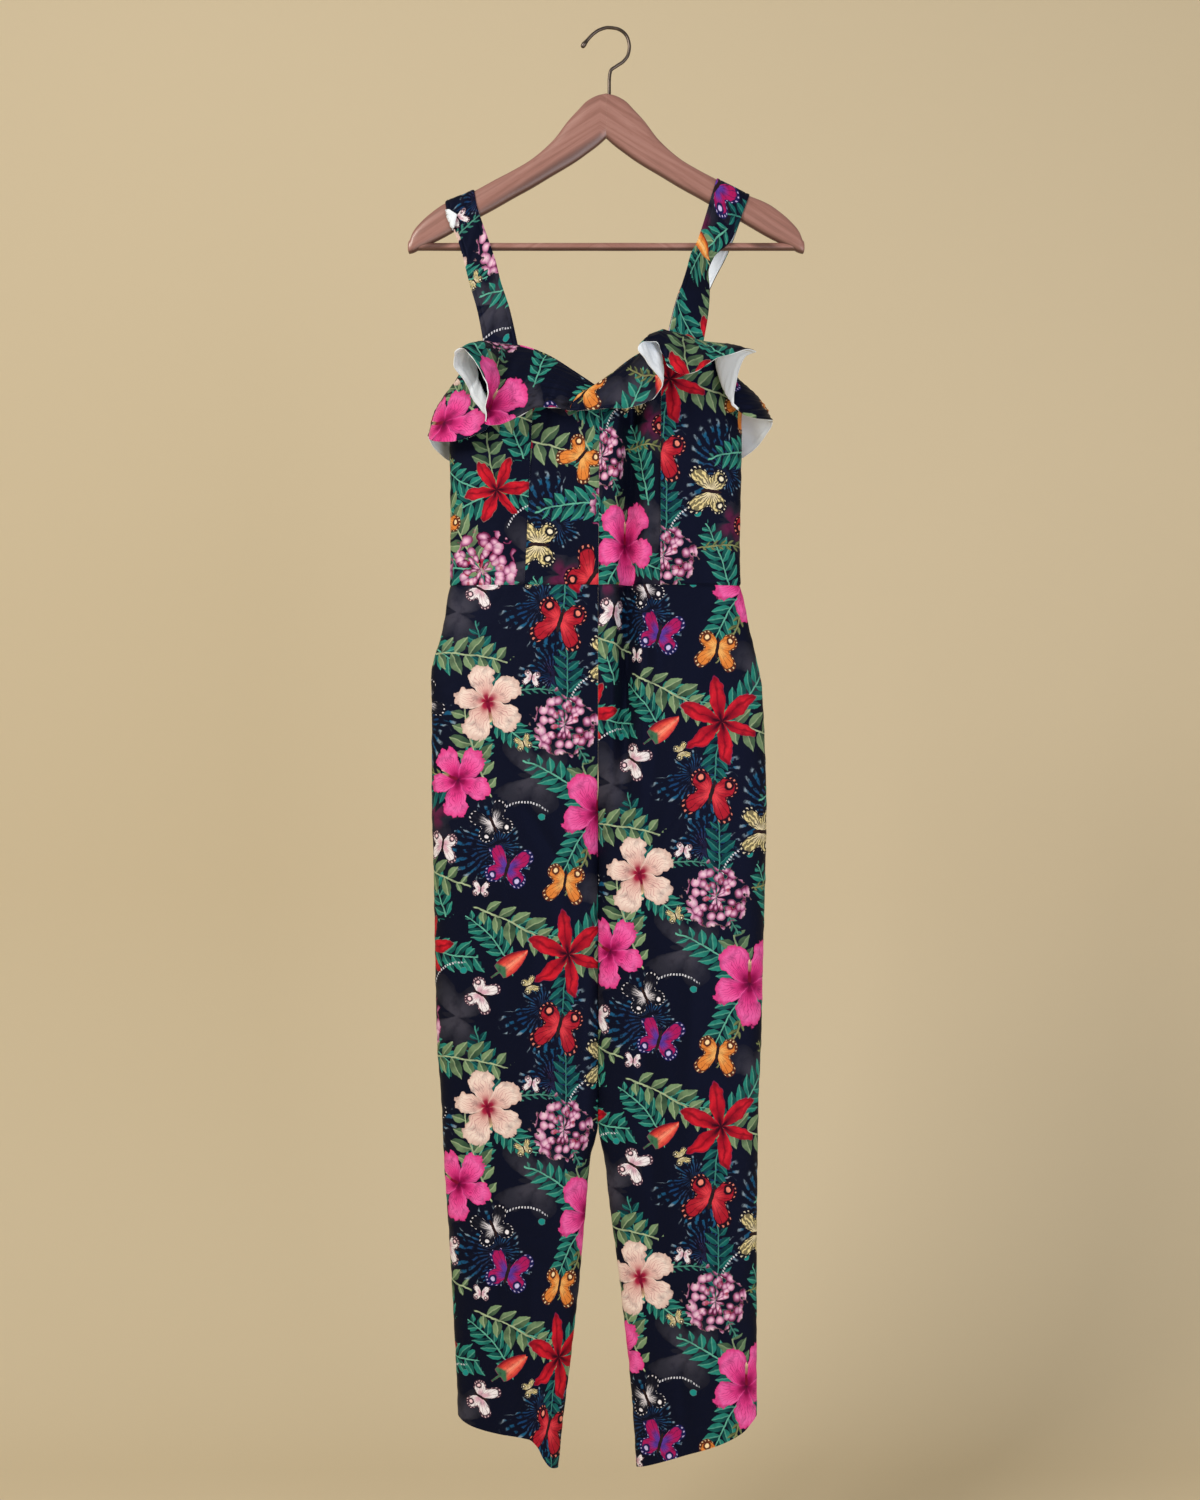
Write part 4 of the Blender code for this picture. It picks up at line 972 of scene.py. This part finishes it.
MATH_NODES = {
    "__add__": "ADD", "__sub__": "SUBTRACT", "__mul__": "MULTIPLY", "__truediv__": "DIVIDE",
    "__pow__": "POWER", "__abs__": "ABSOLUTE", "sine": "SINE", "floor": "FLOOR", "fraction": "FRACT",
    "sign": "SIGN", "least": "MINIMUM", "most": "MAXIMUM", "angle": "ARCTAN2", "wrap": "FLOORED_MODULO",
    "below": "LESS_THAN", "above": "GREATER_THAN", "compare": "COMPARE",
}
for method, math_node in MATH_NODES.items():
    setattr(Term, method, lambda self, *others, operation=math_node: self.calc(operation, self, *others))
for method, math_node in (("__radd__", "ADD"), ("__rsub__", "SUBTRACT"), ("__rmul__", "MULTIPLY")):
    setattr(Term, method, lambda self, other, operation=math_node: self.calc(operation, other, self))


def paint(under, cover, over):
    """One colour laid over another where cover is 1."""
    made = add_node(cover.tree, "ShaderNodeMix", {"data_type": "RGBA"}, {0: cover, 6: under, 7: over})
    return made.outputs[2]


def combined(tree, x, y, z):
    """Three numbers as one vector."""
    return add_node(tree, "ShaderNodeCombineXYZ", None, {0: x, 1: y, 2: z}).outputs[0]


def parts_of(tree, socket, kind="XYZ"):
    """The three numbers of a vector or a colour."""
    made = add_node(tree, "ShaderNodeSeparate" + kind, None, {0: socket})
    return [Term(tree, made.outputs[i]) for i in range(3)]


def noise(tree, vector, scale, detail, flat=False, **more):
    """Soft noise read at a vector."""
    return add_node(tree, "ShaderNodeTexNoise", {"noise_dimensions": "2D" if flat else "3D"},
                    {"Vector": vector, "Scale": scale, "Detail": detail, **more}).outputs


def mottle(x, y, scale, seed=0.0):
    """Soft noise about 0 to 1 at a place in a motif."""
    return Term(x.tree, noise(x.tree, combined(x.tree, x, y, seed), scale, 2.0)["Fac"])


# ---------------- the motifs
# Each ink function takes a place in the motif (x, y, in radii) and the motif's tone, and returns how far
# the ink covers the cloth there and its colour.
def distance(x, y):
    return (x * x + y * y) ** 0.5


def petal_share(x, y, petals, twist):
    """Which petal a place belongs to, and where it lies across it, from -0.5 to 0.5."""
    around = (y.angle(x) * (petals / (2 * math.pi)) + twist + 0.5).wrap(petals)
    petal = around.floor()
    return petal, around - petal - 0.5


def hibiscus(x, y, tone):
    """Five broad ruffled petals with fanned veins, a dark throat and one long stamen."""
    soft = mottle(x, y, 3.0, tone * 9)
    petal, across = petal_share(x, y, 5, (soft - 0.5) * 0.5)
    ruffle = (mottle(x, y, 8.0, tone * 5) - 0.5) * 0.26
    reach = 0.98 - (abs(across) * 2) ** 3.0 * 0.52 - petal.scramble(tone) * 0.24 + ruffle
    out = distance(x, y) / reach
    pink = out.through("#4A0628 #9B0F52 #E2408F #EE68B0 #D2347F", 0, 0.2, 0.42, 0.8, 1)
    cream = out.through("#5F0618 #A82442 #DFB9AF #EFDFD3 #CDB0A5", 0, 0.16, 0.34, 0.8, 1)
    colour = paint(pink, tone.rise(0.55, 0.6), cream)
    streak = abs((across * 34 + soft * 5).sine()).rise(0.5, 0.05) * out.rise(0.1, 0.3) * out.rise(1.05, 0.5)
    colour = paint(colour, streak * 0.75, tone.picks("#A21660 #B5707A", 0, 0.6))
    fold = across.rise(0.24, 0.5) * out.rise(0.1, 0.4)
    colour = paint(colour, fold * 0.55, tone.picks("#8E1058 #B98378", 0, 0.6))
    along = x * 0.8 + y * 0.6
    beside = abs(y * 0.8 - x * 0.6)
    stamen = beside.rise(0.05, 0.025) * along.rise(0.0, 0.05) * along.rise(0.52, 0.48)
    return out.rise(1.0, 0.97), paint(colour, stamen, along.through("#7A0C2C #F4DDB0", 0.25, 0.5))


def star_flower(x, y, tone):
    """Six narrow pointed petals, red with a black centre."""
    soft = mottle(x, y, 2.5, tone * 7)
    petal, across = petal_share(x, y, 6, (soft - 0.5) * 0.4)
    out = distance(x, y) / (1.0 - (abs(across) * 2) ** 1.3 * 0.78 - petal.scramble(tone) * 0.2)
    colour = out.through("#18040A #3E0610 #A50E1E #D2202C #8C0A18", 0, 0.16, 0.4, 0.75, 1)
    colour = paint(colour, abs(across).rise(0.06, 0.01) * out.rise(0.2, 0.4) * 0.6, "#6B0612")
    return out.rise(1.0, 0.95), paint(colour, across.rise(0.0, 0.3) * 0.45, "#7C0A17")


def blossom_cluster(x, y, tone):
    """A head of many small pale petals that point outwards, crimson where they join, uneven at its edge."""
    away = distance(x, y)
    place = combined(x.tree, y.angle(x) * 1.15, away * 2.1 + tone * 7, 0.0)
    cells = add_node(x.tree, "ShaderNodeTexVoronoi", {"voronoi_dimensions": "2D"},
                     {"Vector": place, "Scale": 2.1}).outputs
    middle = Term(x.tree, cells["Distance"])
    pick = parts_of(x.tree, cells["Color"], "Color")[0]
    petal = (middle + pick * 0.25).through("#F4DCE8 #E3B4D0 #B06A96 #5E1238", 0, 0.3, 0.5, 0.66)
    ragged = mottle(x, y, 4.0, tone * 3) - 0.5
    cover = (middle + ragged * 0.3).rise(0.56, 0.5) * (away + ragged * 0.9).rise(0.9, 0.84)
    red = mottle(x, y, 5.0, tone * 6 + 2).rise(0.56, 0.66) * away.rise(0.75, 0.35)
    return cover, paint(petal, red * 0.8, "#A3122E")


def bud(x, y, tone):
    """A closed bud on a short stem: three folded petals over a green cup."""
    along = (x + 1) * 0.5
    half = (along.most(0.001) ** 0.8 * math.pi).sine() * 0.42
    across = y / half.most(0.01)
    off = abs(across - 0.15)
    coral = off.through("#F79A7C #EE6450 #C2342F #7E1A22", 0, 0.35, 0.75, 1)
    amber = off.through("#FBD08A #F2A24A #C8622A #7C3318", 0, 0.4, 0.8, 1)
    colour = paint(coral, tone.rise(0.5, 0.55), amber)
    colour = paint(colour, abs((across * 9 + along * 2).sine()).rise(0.25, 0.0) * 0.5, "#8E2426")
    colour = paint(colour, (along + abs(across) * 0.12).rise(0.42, 0.36), "#3F7050")
    cover = abs(across).rise(1.0, 0.93) * along.rise(0.2, 0.22) * along.rise(0.99, 0.97)
    stem = abs(y).rise(0.05, 0.03) * along.rise(0.26, 0.24)
    return cover.most(stem * along.rise(0.0, 0.02)), colour


# Ramp stops by tone, so that one set of shapes serves every butterfly and every leaf of its layer. A
# butterfly's rows are its wings, their inner part, their border and its dots.
WING_COLOURS = (
    (0, 0.2, 0.4, 0.55, 0.7, 0.9),
    "#A81C28 #DE8638 #A81A5C #EFECF0 #E4D79A #1A1B24", "#E2414A #F2B565 #5B3A9E #D9AFC0 #F0E6BC #E9E8EE",
    "#1C0A12 #5C2D16 #191C50 #4A3440 #12131A #101118", "#F0907A #FBE2AE #C9C2F0 #F7D6DE #F2EDD0 #F1F1F6",
)
SHADE_COLOURS = ((0, 0.5), "#2B2C35 #24242E", "#3C3C46 #5A1F40", "#1B1C25 #191A24", "#45434C #6A3050")
VINE = 0.85                # tones from here on are vines
# A leaf's rows are its lighter half, its darker half and its rib.
LEAF_COLOURS = (
    (0, 0.3, 0.5, 0.7, VINE, 0.93), "#2A8C7C #176A66 #7C9A70 #638360 #66784A #2A7A6C",
    "#0A3A3B #082C34 #34503A #283F2D #3B4A2A #12443F", "#63B49C #3E8C7E #A9BE95 #8AA37C #8A8F5E #4E8E7C",
)


def picked(tone, places, *rows):
    """Each row's colour for a tone."""
    return [tone.picks(row, *places) for row in rows]


def butterfly(x, y, tone, colours, marked=True):
    """Four wings about a thin body; a marked butterfly also has stripes, eyes and beads."""
    wings, inner, border, dots = picked(tone, *colours)
    side = abs(x)
    away = distance(x, y)
    turn = side.angle(y) / math.pi
    out = away / turn.profile(
        (0, 0.06), (0.05, 0.1), (0.13, 0.62), (0.22, 0.98), (0.28, 0.97), (0.38, 0.72), (0.47, 0.5),
        (0.52, 0.58), (0.62, 0.78), (0.72, 0.8), (0.84, 0.62), (0.95, 0.2), (1, 0.1))
    colour = paint(wings, out.rise(0.62, 0.2), inner)
    body = ((side / 0.055) ** 2.0 + ((y + 0.02) / 0.36) ** 2.0).rise(1.1, 0.9)
    cover = out.rise(1.0, 0.96).most(body)
    if not marked:
        return cover, paint(colour, out.rise(0.6, 0.95), border)
    soft = mottle(side, y, 7.0, tone * 4) - 0.5
    striped = tone.rise(0.68, 0.7) * 0.6
    veins = abs((turn * 38 + away * 1.5 + soft * striped * 9).sine()).below(striped + 0.16)
    colour = paint(colour, veins * out.rise(0.1, 0.3) * 0.75, border)
    eye = ((side - 0.42) ** 2.0 + (y + 0.34) ** 2.0) ** 0.5
    edge = out + soft * 0.12
    colour = paint(colour, eye.rise(0.17, 0.13).most(edge.rise(0.8, 0.86)), border)
    beads = (turn * 120).sine().rise(0.3, 0.6) * abs(edge - 0.92).rise(0.035, 0.02)
    colour = paint(colour, eye.rise(0.09, 0.06).most(beads * 0.8), dots)
    return cover, paint(colour, body, "#2C1D18")


def dim_butterfly(x, y, tone):
    return butterfly(x, y, tone, SHADE_COLOURS, marked=False)


def bright_butterfly(x, y, tone):
    return butterfly(x, y, tone, WING_COLOURS)


def streaked_wing(x, y, tone):
    """A dark wing of blue streaks that break up towards its edge."""
    turn = y.angle(x) / math.pi
    soft = mottle(x, y, 2.2, tone * 5)
    reach = abs(turn + (soft - 0.5) * 0.3).profile(
        (0, 0.98), (0.15, 0.9), (0.3, 0.6), (0.45, 0.86), (0.62, 0.7), (0.72, 0.3), (0.86, 0.45), (1, 0.2))
    out = distance(x, y) / reach
    broken = mottle(x, y, 9.0, 2.0).rise(0.38, 0.56)
    cover = out.rise(1.0, 0.9) * (turn * 95 + soft * 12).sine().rise(-0.2, 0.7) * broken
    return cover * 0.85, out.through("#0D2A4A #15457A #1F6F9A #9FB9C8 #2A5C86", 0, 0.5, 0.8, 0.92, 1)


def leaf_spray(x, y, tone, spacing, lean_sine, lean_cosine, length, width):
    """Leaflets in pairs along a bowed stem, each with a pale rib and one lighter half; they lean away
    from the stem by an angle that is given by its sine and cosine."""
    bow = (tone.fraction() - 0.5) * 0.5
    off = y - (x * x - 0.35) * bow
    side = off.sign()
    height = abs(off)
    slip = (x - height * lean_cosine / lean_sine) / spacing + side * 0.12
    pair = (slip + 0.5).floor()
    root = (pair - side * 0.12) * spacing
    past = x - root
    along = past * lean_cosine + height * lean_sine
    beside = past * lean_sine - height * lean_cosine
    pick = (pair * 2 + side).scramble(tone)
    full = (1 - (root + 0.12) * (root + 0.12) * 0.95).most(0.01) ** 0.5 * length * (pick * 0.25 + 0.82)
    share = along / full
    half = ((share.most(0.0).least(1.0)) ** 0.85 * math.pi).sine() * full * width
    cover = (half - abs(beside)).rise(0.0, 0.012) * root.rise(-0.98, -0.9) * root.rise(0.92, 0.8)
    light, dark, rib = picked(tone, *LEAF_COLOURS)
    shading = (beside.rise(-0.01, 0.01) * 0.6 + pick * 0.3 + share.rise(0.6, 0.0) * 0.3).least(1.0)
    stem = height.rise(0.02, 0.01) * abs(x).rise(1.0, 0.96)
    line = (abs(beside).rise(0.016, 0.004) * 0.6).most(stem)
    return cover.most(stem), paint(paint(light, shading, dark), line, rib)


def teal_spray(x, y, tone):
    """Narrow leaflets set close together."""
    return leaf_spray(x, y, tone, 0.22, math.sin(0.85), math.cos(0.85), 0.46, 0.23)


def green_frond(x, y, tone):
    """Broad leaflets set apart, or a vine's small ones."""
    vine = tone.above(VINE - 0.01)
    lean_sine, lean_cosine = (vine * (part(0.7) - part(1.0)) + part(1.0) for part in (math.sin, math.cos))
    return leaf_spray(x, y, tone, vine * -0.09 + 0.26, lean_sine, lean_cosine, vine * -0.22 + 0.44,
                      vine * -0.05 + 0.26)


def dash_row(x, y, tone):
    """A curved row of small white dashes that ends in a teal dot."""
    off = y - x * x * 0.4 + 0.15
    dash = abs((x * 9).fraction() - 0.5).rise(0.3, 0.22) * abs(off).rise(0.05, 0.03)
    dash = dash * abs(x).rise(0.85, 0.8) * mottle(x, y, 3.0, tone * 9).rise(0.35, 0.42)
    dot = ((x - 0.62) ** 2.0 + (y - 0.35) ** 2.0).rise(0.022, 0.014)
    return dash.most(dot), paint("#D8DCE6", dot, "#1E8C86")


# The inks of each layer in the order of their kinds, which count from 1; the furthest layer comes first.
INKS = {
    "shade": [dim_butterfly, streaked_wing],
    "spray": [teal_spray],
    "frond": [green_frond, dash_row],
    "bloom": [hibiscus, star_flower, blossom_cluster, bud],
    "wing": [bright_butterfly],
}


def printed_colour(tree):
    """The whole print: navy black cloth with the layers laid over it, the furthest back first.

    Each layer's places are shifted a little by noise, so that its outlines look brushed, and each
    colour is mottled by the same noise.
    """
    colour = "#0A0D1B"
    for layer, inks in INKS.items():
        place = add_node(tree, "ShaderNodeAttribute", {"attribute_name": layer}).outputs["Vector"]
        brush = noise(tree, place, 4.5, 3.0, flat=True, Roughness=0.55)["Color"]
        shift = [part - 0.5 for part in parts_of(tree, brush, "Color")]
        x, y, code = parts_of(tree, place)
        x, y = x + shift[0] * 0.07, y + shift[1] * 0.07
        kind, tone = code.floor(), code.fraction()
        covers, layer_colour = [], None
        for number, ink in enumerate(inks, start=1):
            cover, own = ink(x, y, tone)
            covers.append(cover * kind.compare(number, 0.5))
            layer_colour = paint(layer_colour, covers[-1], own) if layer_colour else own
        dim = (shift[2] * 1.3 + 1.0).through("#4A4854 #A6A2AA #F6F4F6", 0, 0.5, 1)
        dimmed = add_node(tree, "ShaderNodeMix", {"data_type": "RGBA", "blend_type": "MULTIPLY"},
                          {0: 1.0, 6: layer_colour, 7: dim})
        colour = paint(colour, sum(covers[1:], covers[0]), dimmed.outputs[2])
    return colour


# ---------------- materials
def new_material(name):
    """A material with a Principled shader linked to its output; returns it, its tree and the shader."""
    material = bpy.data.materials.new(name)
    material.use_nodes = True
    return material, material.node_tree, material.node_tree.nodes["Principled BSDF"]


def bumps(tree, strength, distance, height, **more):
    """A surface direction roughened by a height."""
    return add_node(tree, "ShaderNodeBump", None,
                    {"Strength": strength, "Distance": distance, "Height": height, **more}).outputs[0]


def crepe_grain(tree, handled):
    """The pebbled face of crepe, from fine noise over the flat cloth, and the soft dents of handling."""
    flat = add_node(tree, "ShaderNodeUVMap", {"uv_map": "flat_cloth"}).outputs[0]
    pebbled = bumps(tree, 0.25, 0.0003, noise(tree, flat, 1500.0, 1.0, flat=True)["Fac"])
    return bumps(tree, handled, 0.0025, noise(tree, flat, 42.0, 2.0, flat=True)["Fac"], Normal=pebbled)


def printed_crepe():
    """Polyester crepe, heat-transfer printed on its face: matt, with a faint bloom of the yarn's sheen."""
    material, tree, shader = new_material("printed_crepe")
    fit(shader, {
        "Base Color": printed_colour(tree), "Roughness": 0.55, "Sheen Weight": 0.03, "Sheen Roughness": 0.4,
        "Sheen Tint": "#AEB4CC", "Specular IOR Level": 0.22, "Specular Tint": "#6E7CC0",
        "Normal": crepe_grain(tree, 0.35),
    })
    return material


def unprinted_underside():
    """The same crepe seen from its back, where transfer ink does not reach: undyed, slightly blue white."""
    material, tree, shader = new_material("unprinted_crepe_underside")
    fit(shader, {
        "Base Color": "#E2ECF7", "Roughness": 0.75, "Sheen Weight": 0.10, "Specular IOR Level": 0.25,
        "Normal": crepe_grain(tree, 0.08),
    })
    return material


ARM_SLOPE = 0.56           # in radians, below the level
GRAIN_MIRROR = 8 * MM      # how far left of the middle the grain of one arm meets the other's
# Depth square to the arms' slope over which the painted shade band sets in and ends, along the lower edge.
SHADE_BAND_STARTS = (-0.098, -0.107)
SHADE_BAND_ENDS = (-0.120, -0.112)


def beech():
    """Steamed beech, stained reddish brown and varnished: long grain that runs down each arm, short
    ray flecks, and painted shade that darkens the undersides and a band along the lower edge."""
    material, tree, shader = new_material("varnished_beech")
    x, y, z = parts_of(tree, add_node(tree, "ShaderNodeTexCoord").outputs["Object"])
    sine, cosine = math.sin(ARM_SLOPE), math.cos(ARM_SLOPE)
    out = abs(x + GRAIN_MIRROR)
    across = out * sine + z * cosine
    arms = combined(tree, out * cosine - z * sine, y, across)
    long, short = (add_node(tree, "ShaderNodeMapping", None, {"Vector": arms, "Scale": scale}).outputs[0]
                   for scale in ((5.0, 90.0, 90.0), (60.0, 900.0, 900.0)))
    grain = Term(tree, noise(tree, long, 1.6, 5.0, Roughness=0.6, Distortion=0.6)["Fac"])
    fleck = Term(tree, noise(tree, short, 1.5, 1.0)["Fac"])
    colour = grain.through("#7D564E #8F645B #9A7068 #A77E76", 0.25, 0.45, 0.6, 0.8)
    colour = paint(colour, fleck.rise(0.6, 0.72) * 0.25, "#6B4034")
    # Painted shade: the wood is darkened where its surface faces down and in a band along each arm's lower
    # edge.
    below = parts_of(tree, add_node(tree, "ShaderNodeNewGeometry").outputs["Normal"])[2].rise(-0.15, -0.6)
    edge = across.rise(*SHADE_BAND_STARTS) * across.rise(*SHADE_BAND_ENDS) * 0.9
    colour = paint(colour, below.most(edge) * 0.8, "#3A1F18")
    fit(shader, {"Base Color": colour, "Roughness": 0.38, "Coat Weight": 0.35, "Coat Roughness": 0.22,
                 "Normal": bumps(tree, 0.15, 0.0004, grain)})
    return material


def hook_plate():
    """Drawn steel wire, plated dark gunmetal: a soft brushed reflection with a little brown."""
    material, tree, shader = new_material("gunmetal_plate")
    place = add_node(tree, "ShaderNodeTexCoord").outputs["Object"]
    worn = Term(tree, noise(tree, place, 140.0, 3.0)["Fac"])
    fit(shader, {"Base Color": worn.through("#4A4340 #6A605A", 0.3, 0.7), "Metallic": 1.0,
                 "Roughness": worn.rise(0.2, 0.9) * 0.15 + 0.28})
    return material


def plain_surface():
    """Matt painted board: the pale tan backdrop. Its back is clear, so that the garment can also be
    looked at from behind."""
    material, tree, shader = new_material("backdrop_board")
    tree.nodes.remove(shader)
    matt = add_node(tree, "ShaderNodeBsdfDiffuse", None, {"Color": "#DBCEB2"})
    clear = add_node(tree, "ShaderNodeBsdfTransparent")
    face = add_node(tree, "ShaderNodeNewGeometry")
    seen = add_node(tree, "ShaderNodeMixShader", None,
                    {0: face.outputs["Backfacing"], 1: matt.outputs[0], 2: clear.outputs[0]})
    fit(tree.nodes["Material Output"], {"Surface": seen.outputs[0]})
    return material


crepe = printed_crepe()
crepe_underside = unprinted_underside()
varnished_beech = beech()
gunmetal_plate = hook_plate()
PRINT = scatter_print()


# ---------------- the garment
# Each piece's last two numbers say where it was cut from the printed repeat, across and down, in mm.
bodice_panel("bodice_front_side_left", "left", "left_princess", -1, (40, 60))
bodice_panel("bodice_front_centre_left", "left_princess", "centre", -1, (215, 130))
bodice_panel("bodice_front_centre_right", "centre", "right_princess", -1, (105, 300))
bodice_panel("bodice_front_side_right", "right_princess", "right", -1, (20, 190))
bodice_panel("bodice_back_side_left", "left", "left_princess", 1, (150, 10))
bodice_panel("bodice_back_centre_left", "left_princess", "centre", 1, (290, 220))
bodice_panel("bodice_back_centre_right", "centre", "right_princess", 1, (60, 20))
bodice_panel("bodice_back_side_right", "right_princess", "right", 1, (190, 330))

leg_panel("leg_front_left", "left", -1, (130, 0))
leg_panel("leg_front_right", "right", -1, (300, 262))
leg_panel("leg_back_left", "left", 1, (20, 250))
leg_panel("leg_back_right", "right", 1, (180, 90))

front_flounce("flounce_front_left", -1, (70, 340))
front_flounce("flounce_front_right", 1, (250, 30))
back_flounce("flounce_back_left", -1, (10, 110))
back_flounce("flounce_back_right", 1, (160, 240))

hanger_arm("hanger_arm_left", -1)
hanger_arm("hanger_arm_right", 1)
hanger_bar()
wire_hook()

# A fold is its drop, its reach along the strap and how much of the edge it turns over.
strap("strap_left", STRAP_LEFT_FRONT, STRAP_LEFT_BACK, STRAP_LEFT_ENDS, STRAP_LEFT_TOP, (30, 20),
      fold=(218 * MM, 12 * MM, 10 * MM))
strap("strap_right", STRAP_RIGHT_FRONT, STRAP_RIGHT_BACK, STRAP_RIGHT_ENDS, STRAP_RIGHT_TOP, (200, 150))


# ---------------- the studio
FLOOR = -1.86
WALL_Y = 1.4
SWEEP = 0.8                # radius of the bend between floor and wall
BOARD_REACH = 4.0          # half its width, and how far it comes forward
WALL_TOP = 2.4


def backdrop():
    """A pale board that lies on the floor and sweeps up behind the garment in one bend."""
    turn = np.linspace(0, math.pi / 2, 24)
    y = np.concatenate([[-BOARD_REACH], WALL_Y - SWEEP + SWEEP * np.sin(turn), [WALL_Y]])
    z = np.concatenate([[FLOOR], FLOOR + SWEEP - SWEEP * np.cos(turn), [WALL_TOP]])
    corners = points(np.array([-BOARD_REACH, BOARD_REACH]), y[:, None], z[:, None])
    index = np.arange(len(y) * 2).reshape(-1, 2)
    mesh = new_mesh("backdrop", corners, grid_faces(index)[:, ::-1].tolist(), plain_surface())
    mesh.shade_smooth()
    in_scene("backdrop", mesh)


def soft_light(name, place, towards, size, power, colour):
    """A square soft box aimed at a point."""
    lamp = bpy.data.lights.new(name, "AREA")
    lamp.shape = "SQUARE"
    lamp.size = size
    lamp.energy = power
    lamp.color = linear(colour)[:3]
    box = in_scene(name, lamp)
    box.location = place
    box.rotation_euler = (Vector(towards) - Vector(place)).to_track_quat("-Z", "Y").to_euler()


backdrop()
soft_light("key", (-1.7, -2.0, 0.7), (0, 0, -0.75), 1.1, 58, "#FFF6EA")
soft_light("fill", (1.5, -2.4, -1.0), (0, 0, -1.0), 1.8, 36, "#F4F3FC")

world = bpy.data.worlds.new("studio")
world.use_nodes = True
fit(world.node_tree.nodes["Background"], {"Color": "#E9E3D6", "Strength": 0.5})
bpy.context.scene.world = world
bpy.context.scene.view_settings.view_transform = "Standard"

lens = bpy.data.cameras.new("camera")
lens.sensor_fit = "VERTICAL"
lens.sensor_height = 36
lens.lens = 46.52
camera = in_scene("camera", lens)
camera.location = (-0.008, -2.2, -0.818)
camera.rotation_euler = (math.pi / 2, 0, 0)
bpy.context.scene.camera = camera
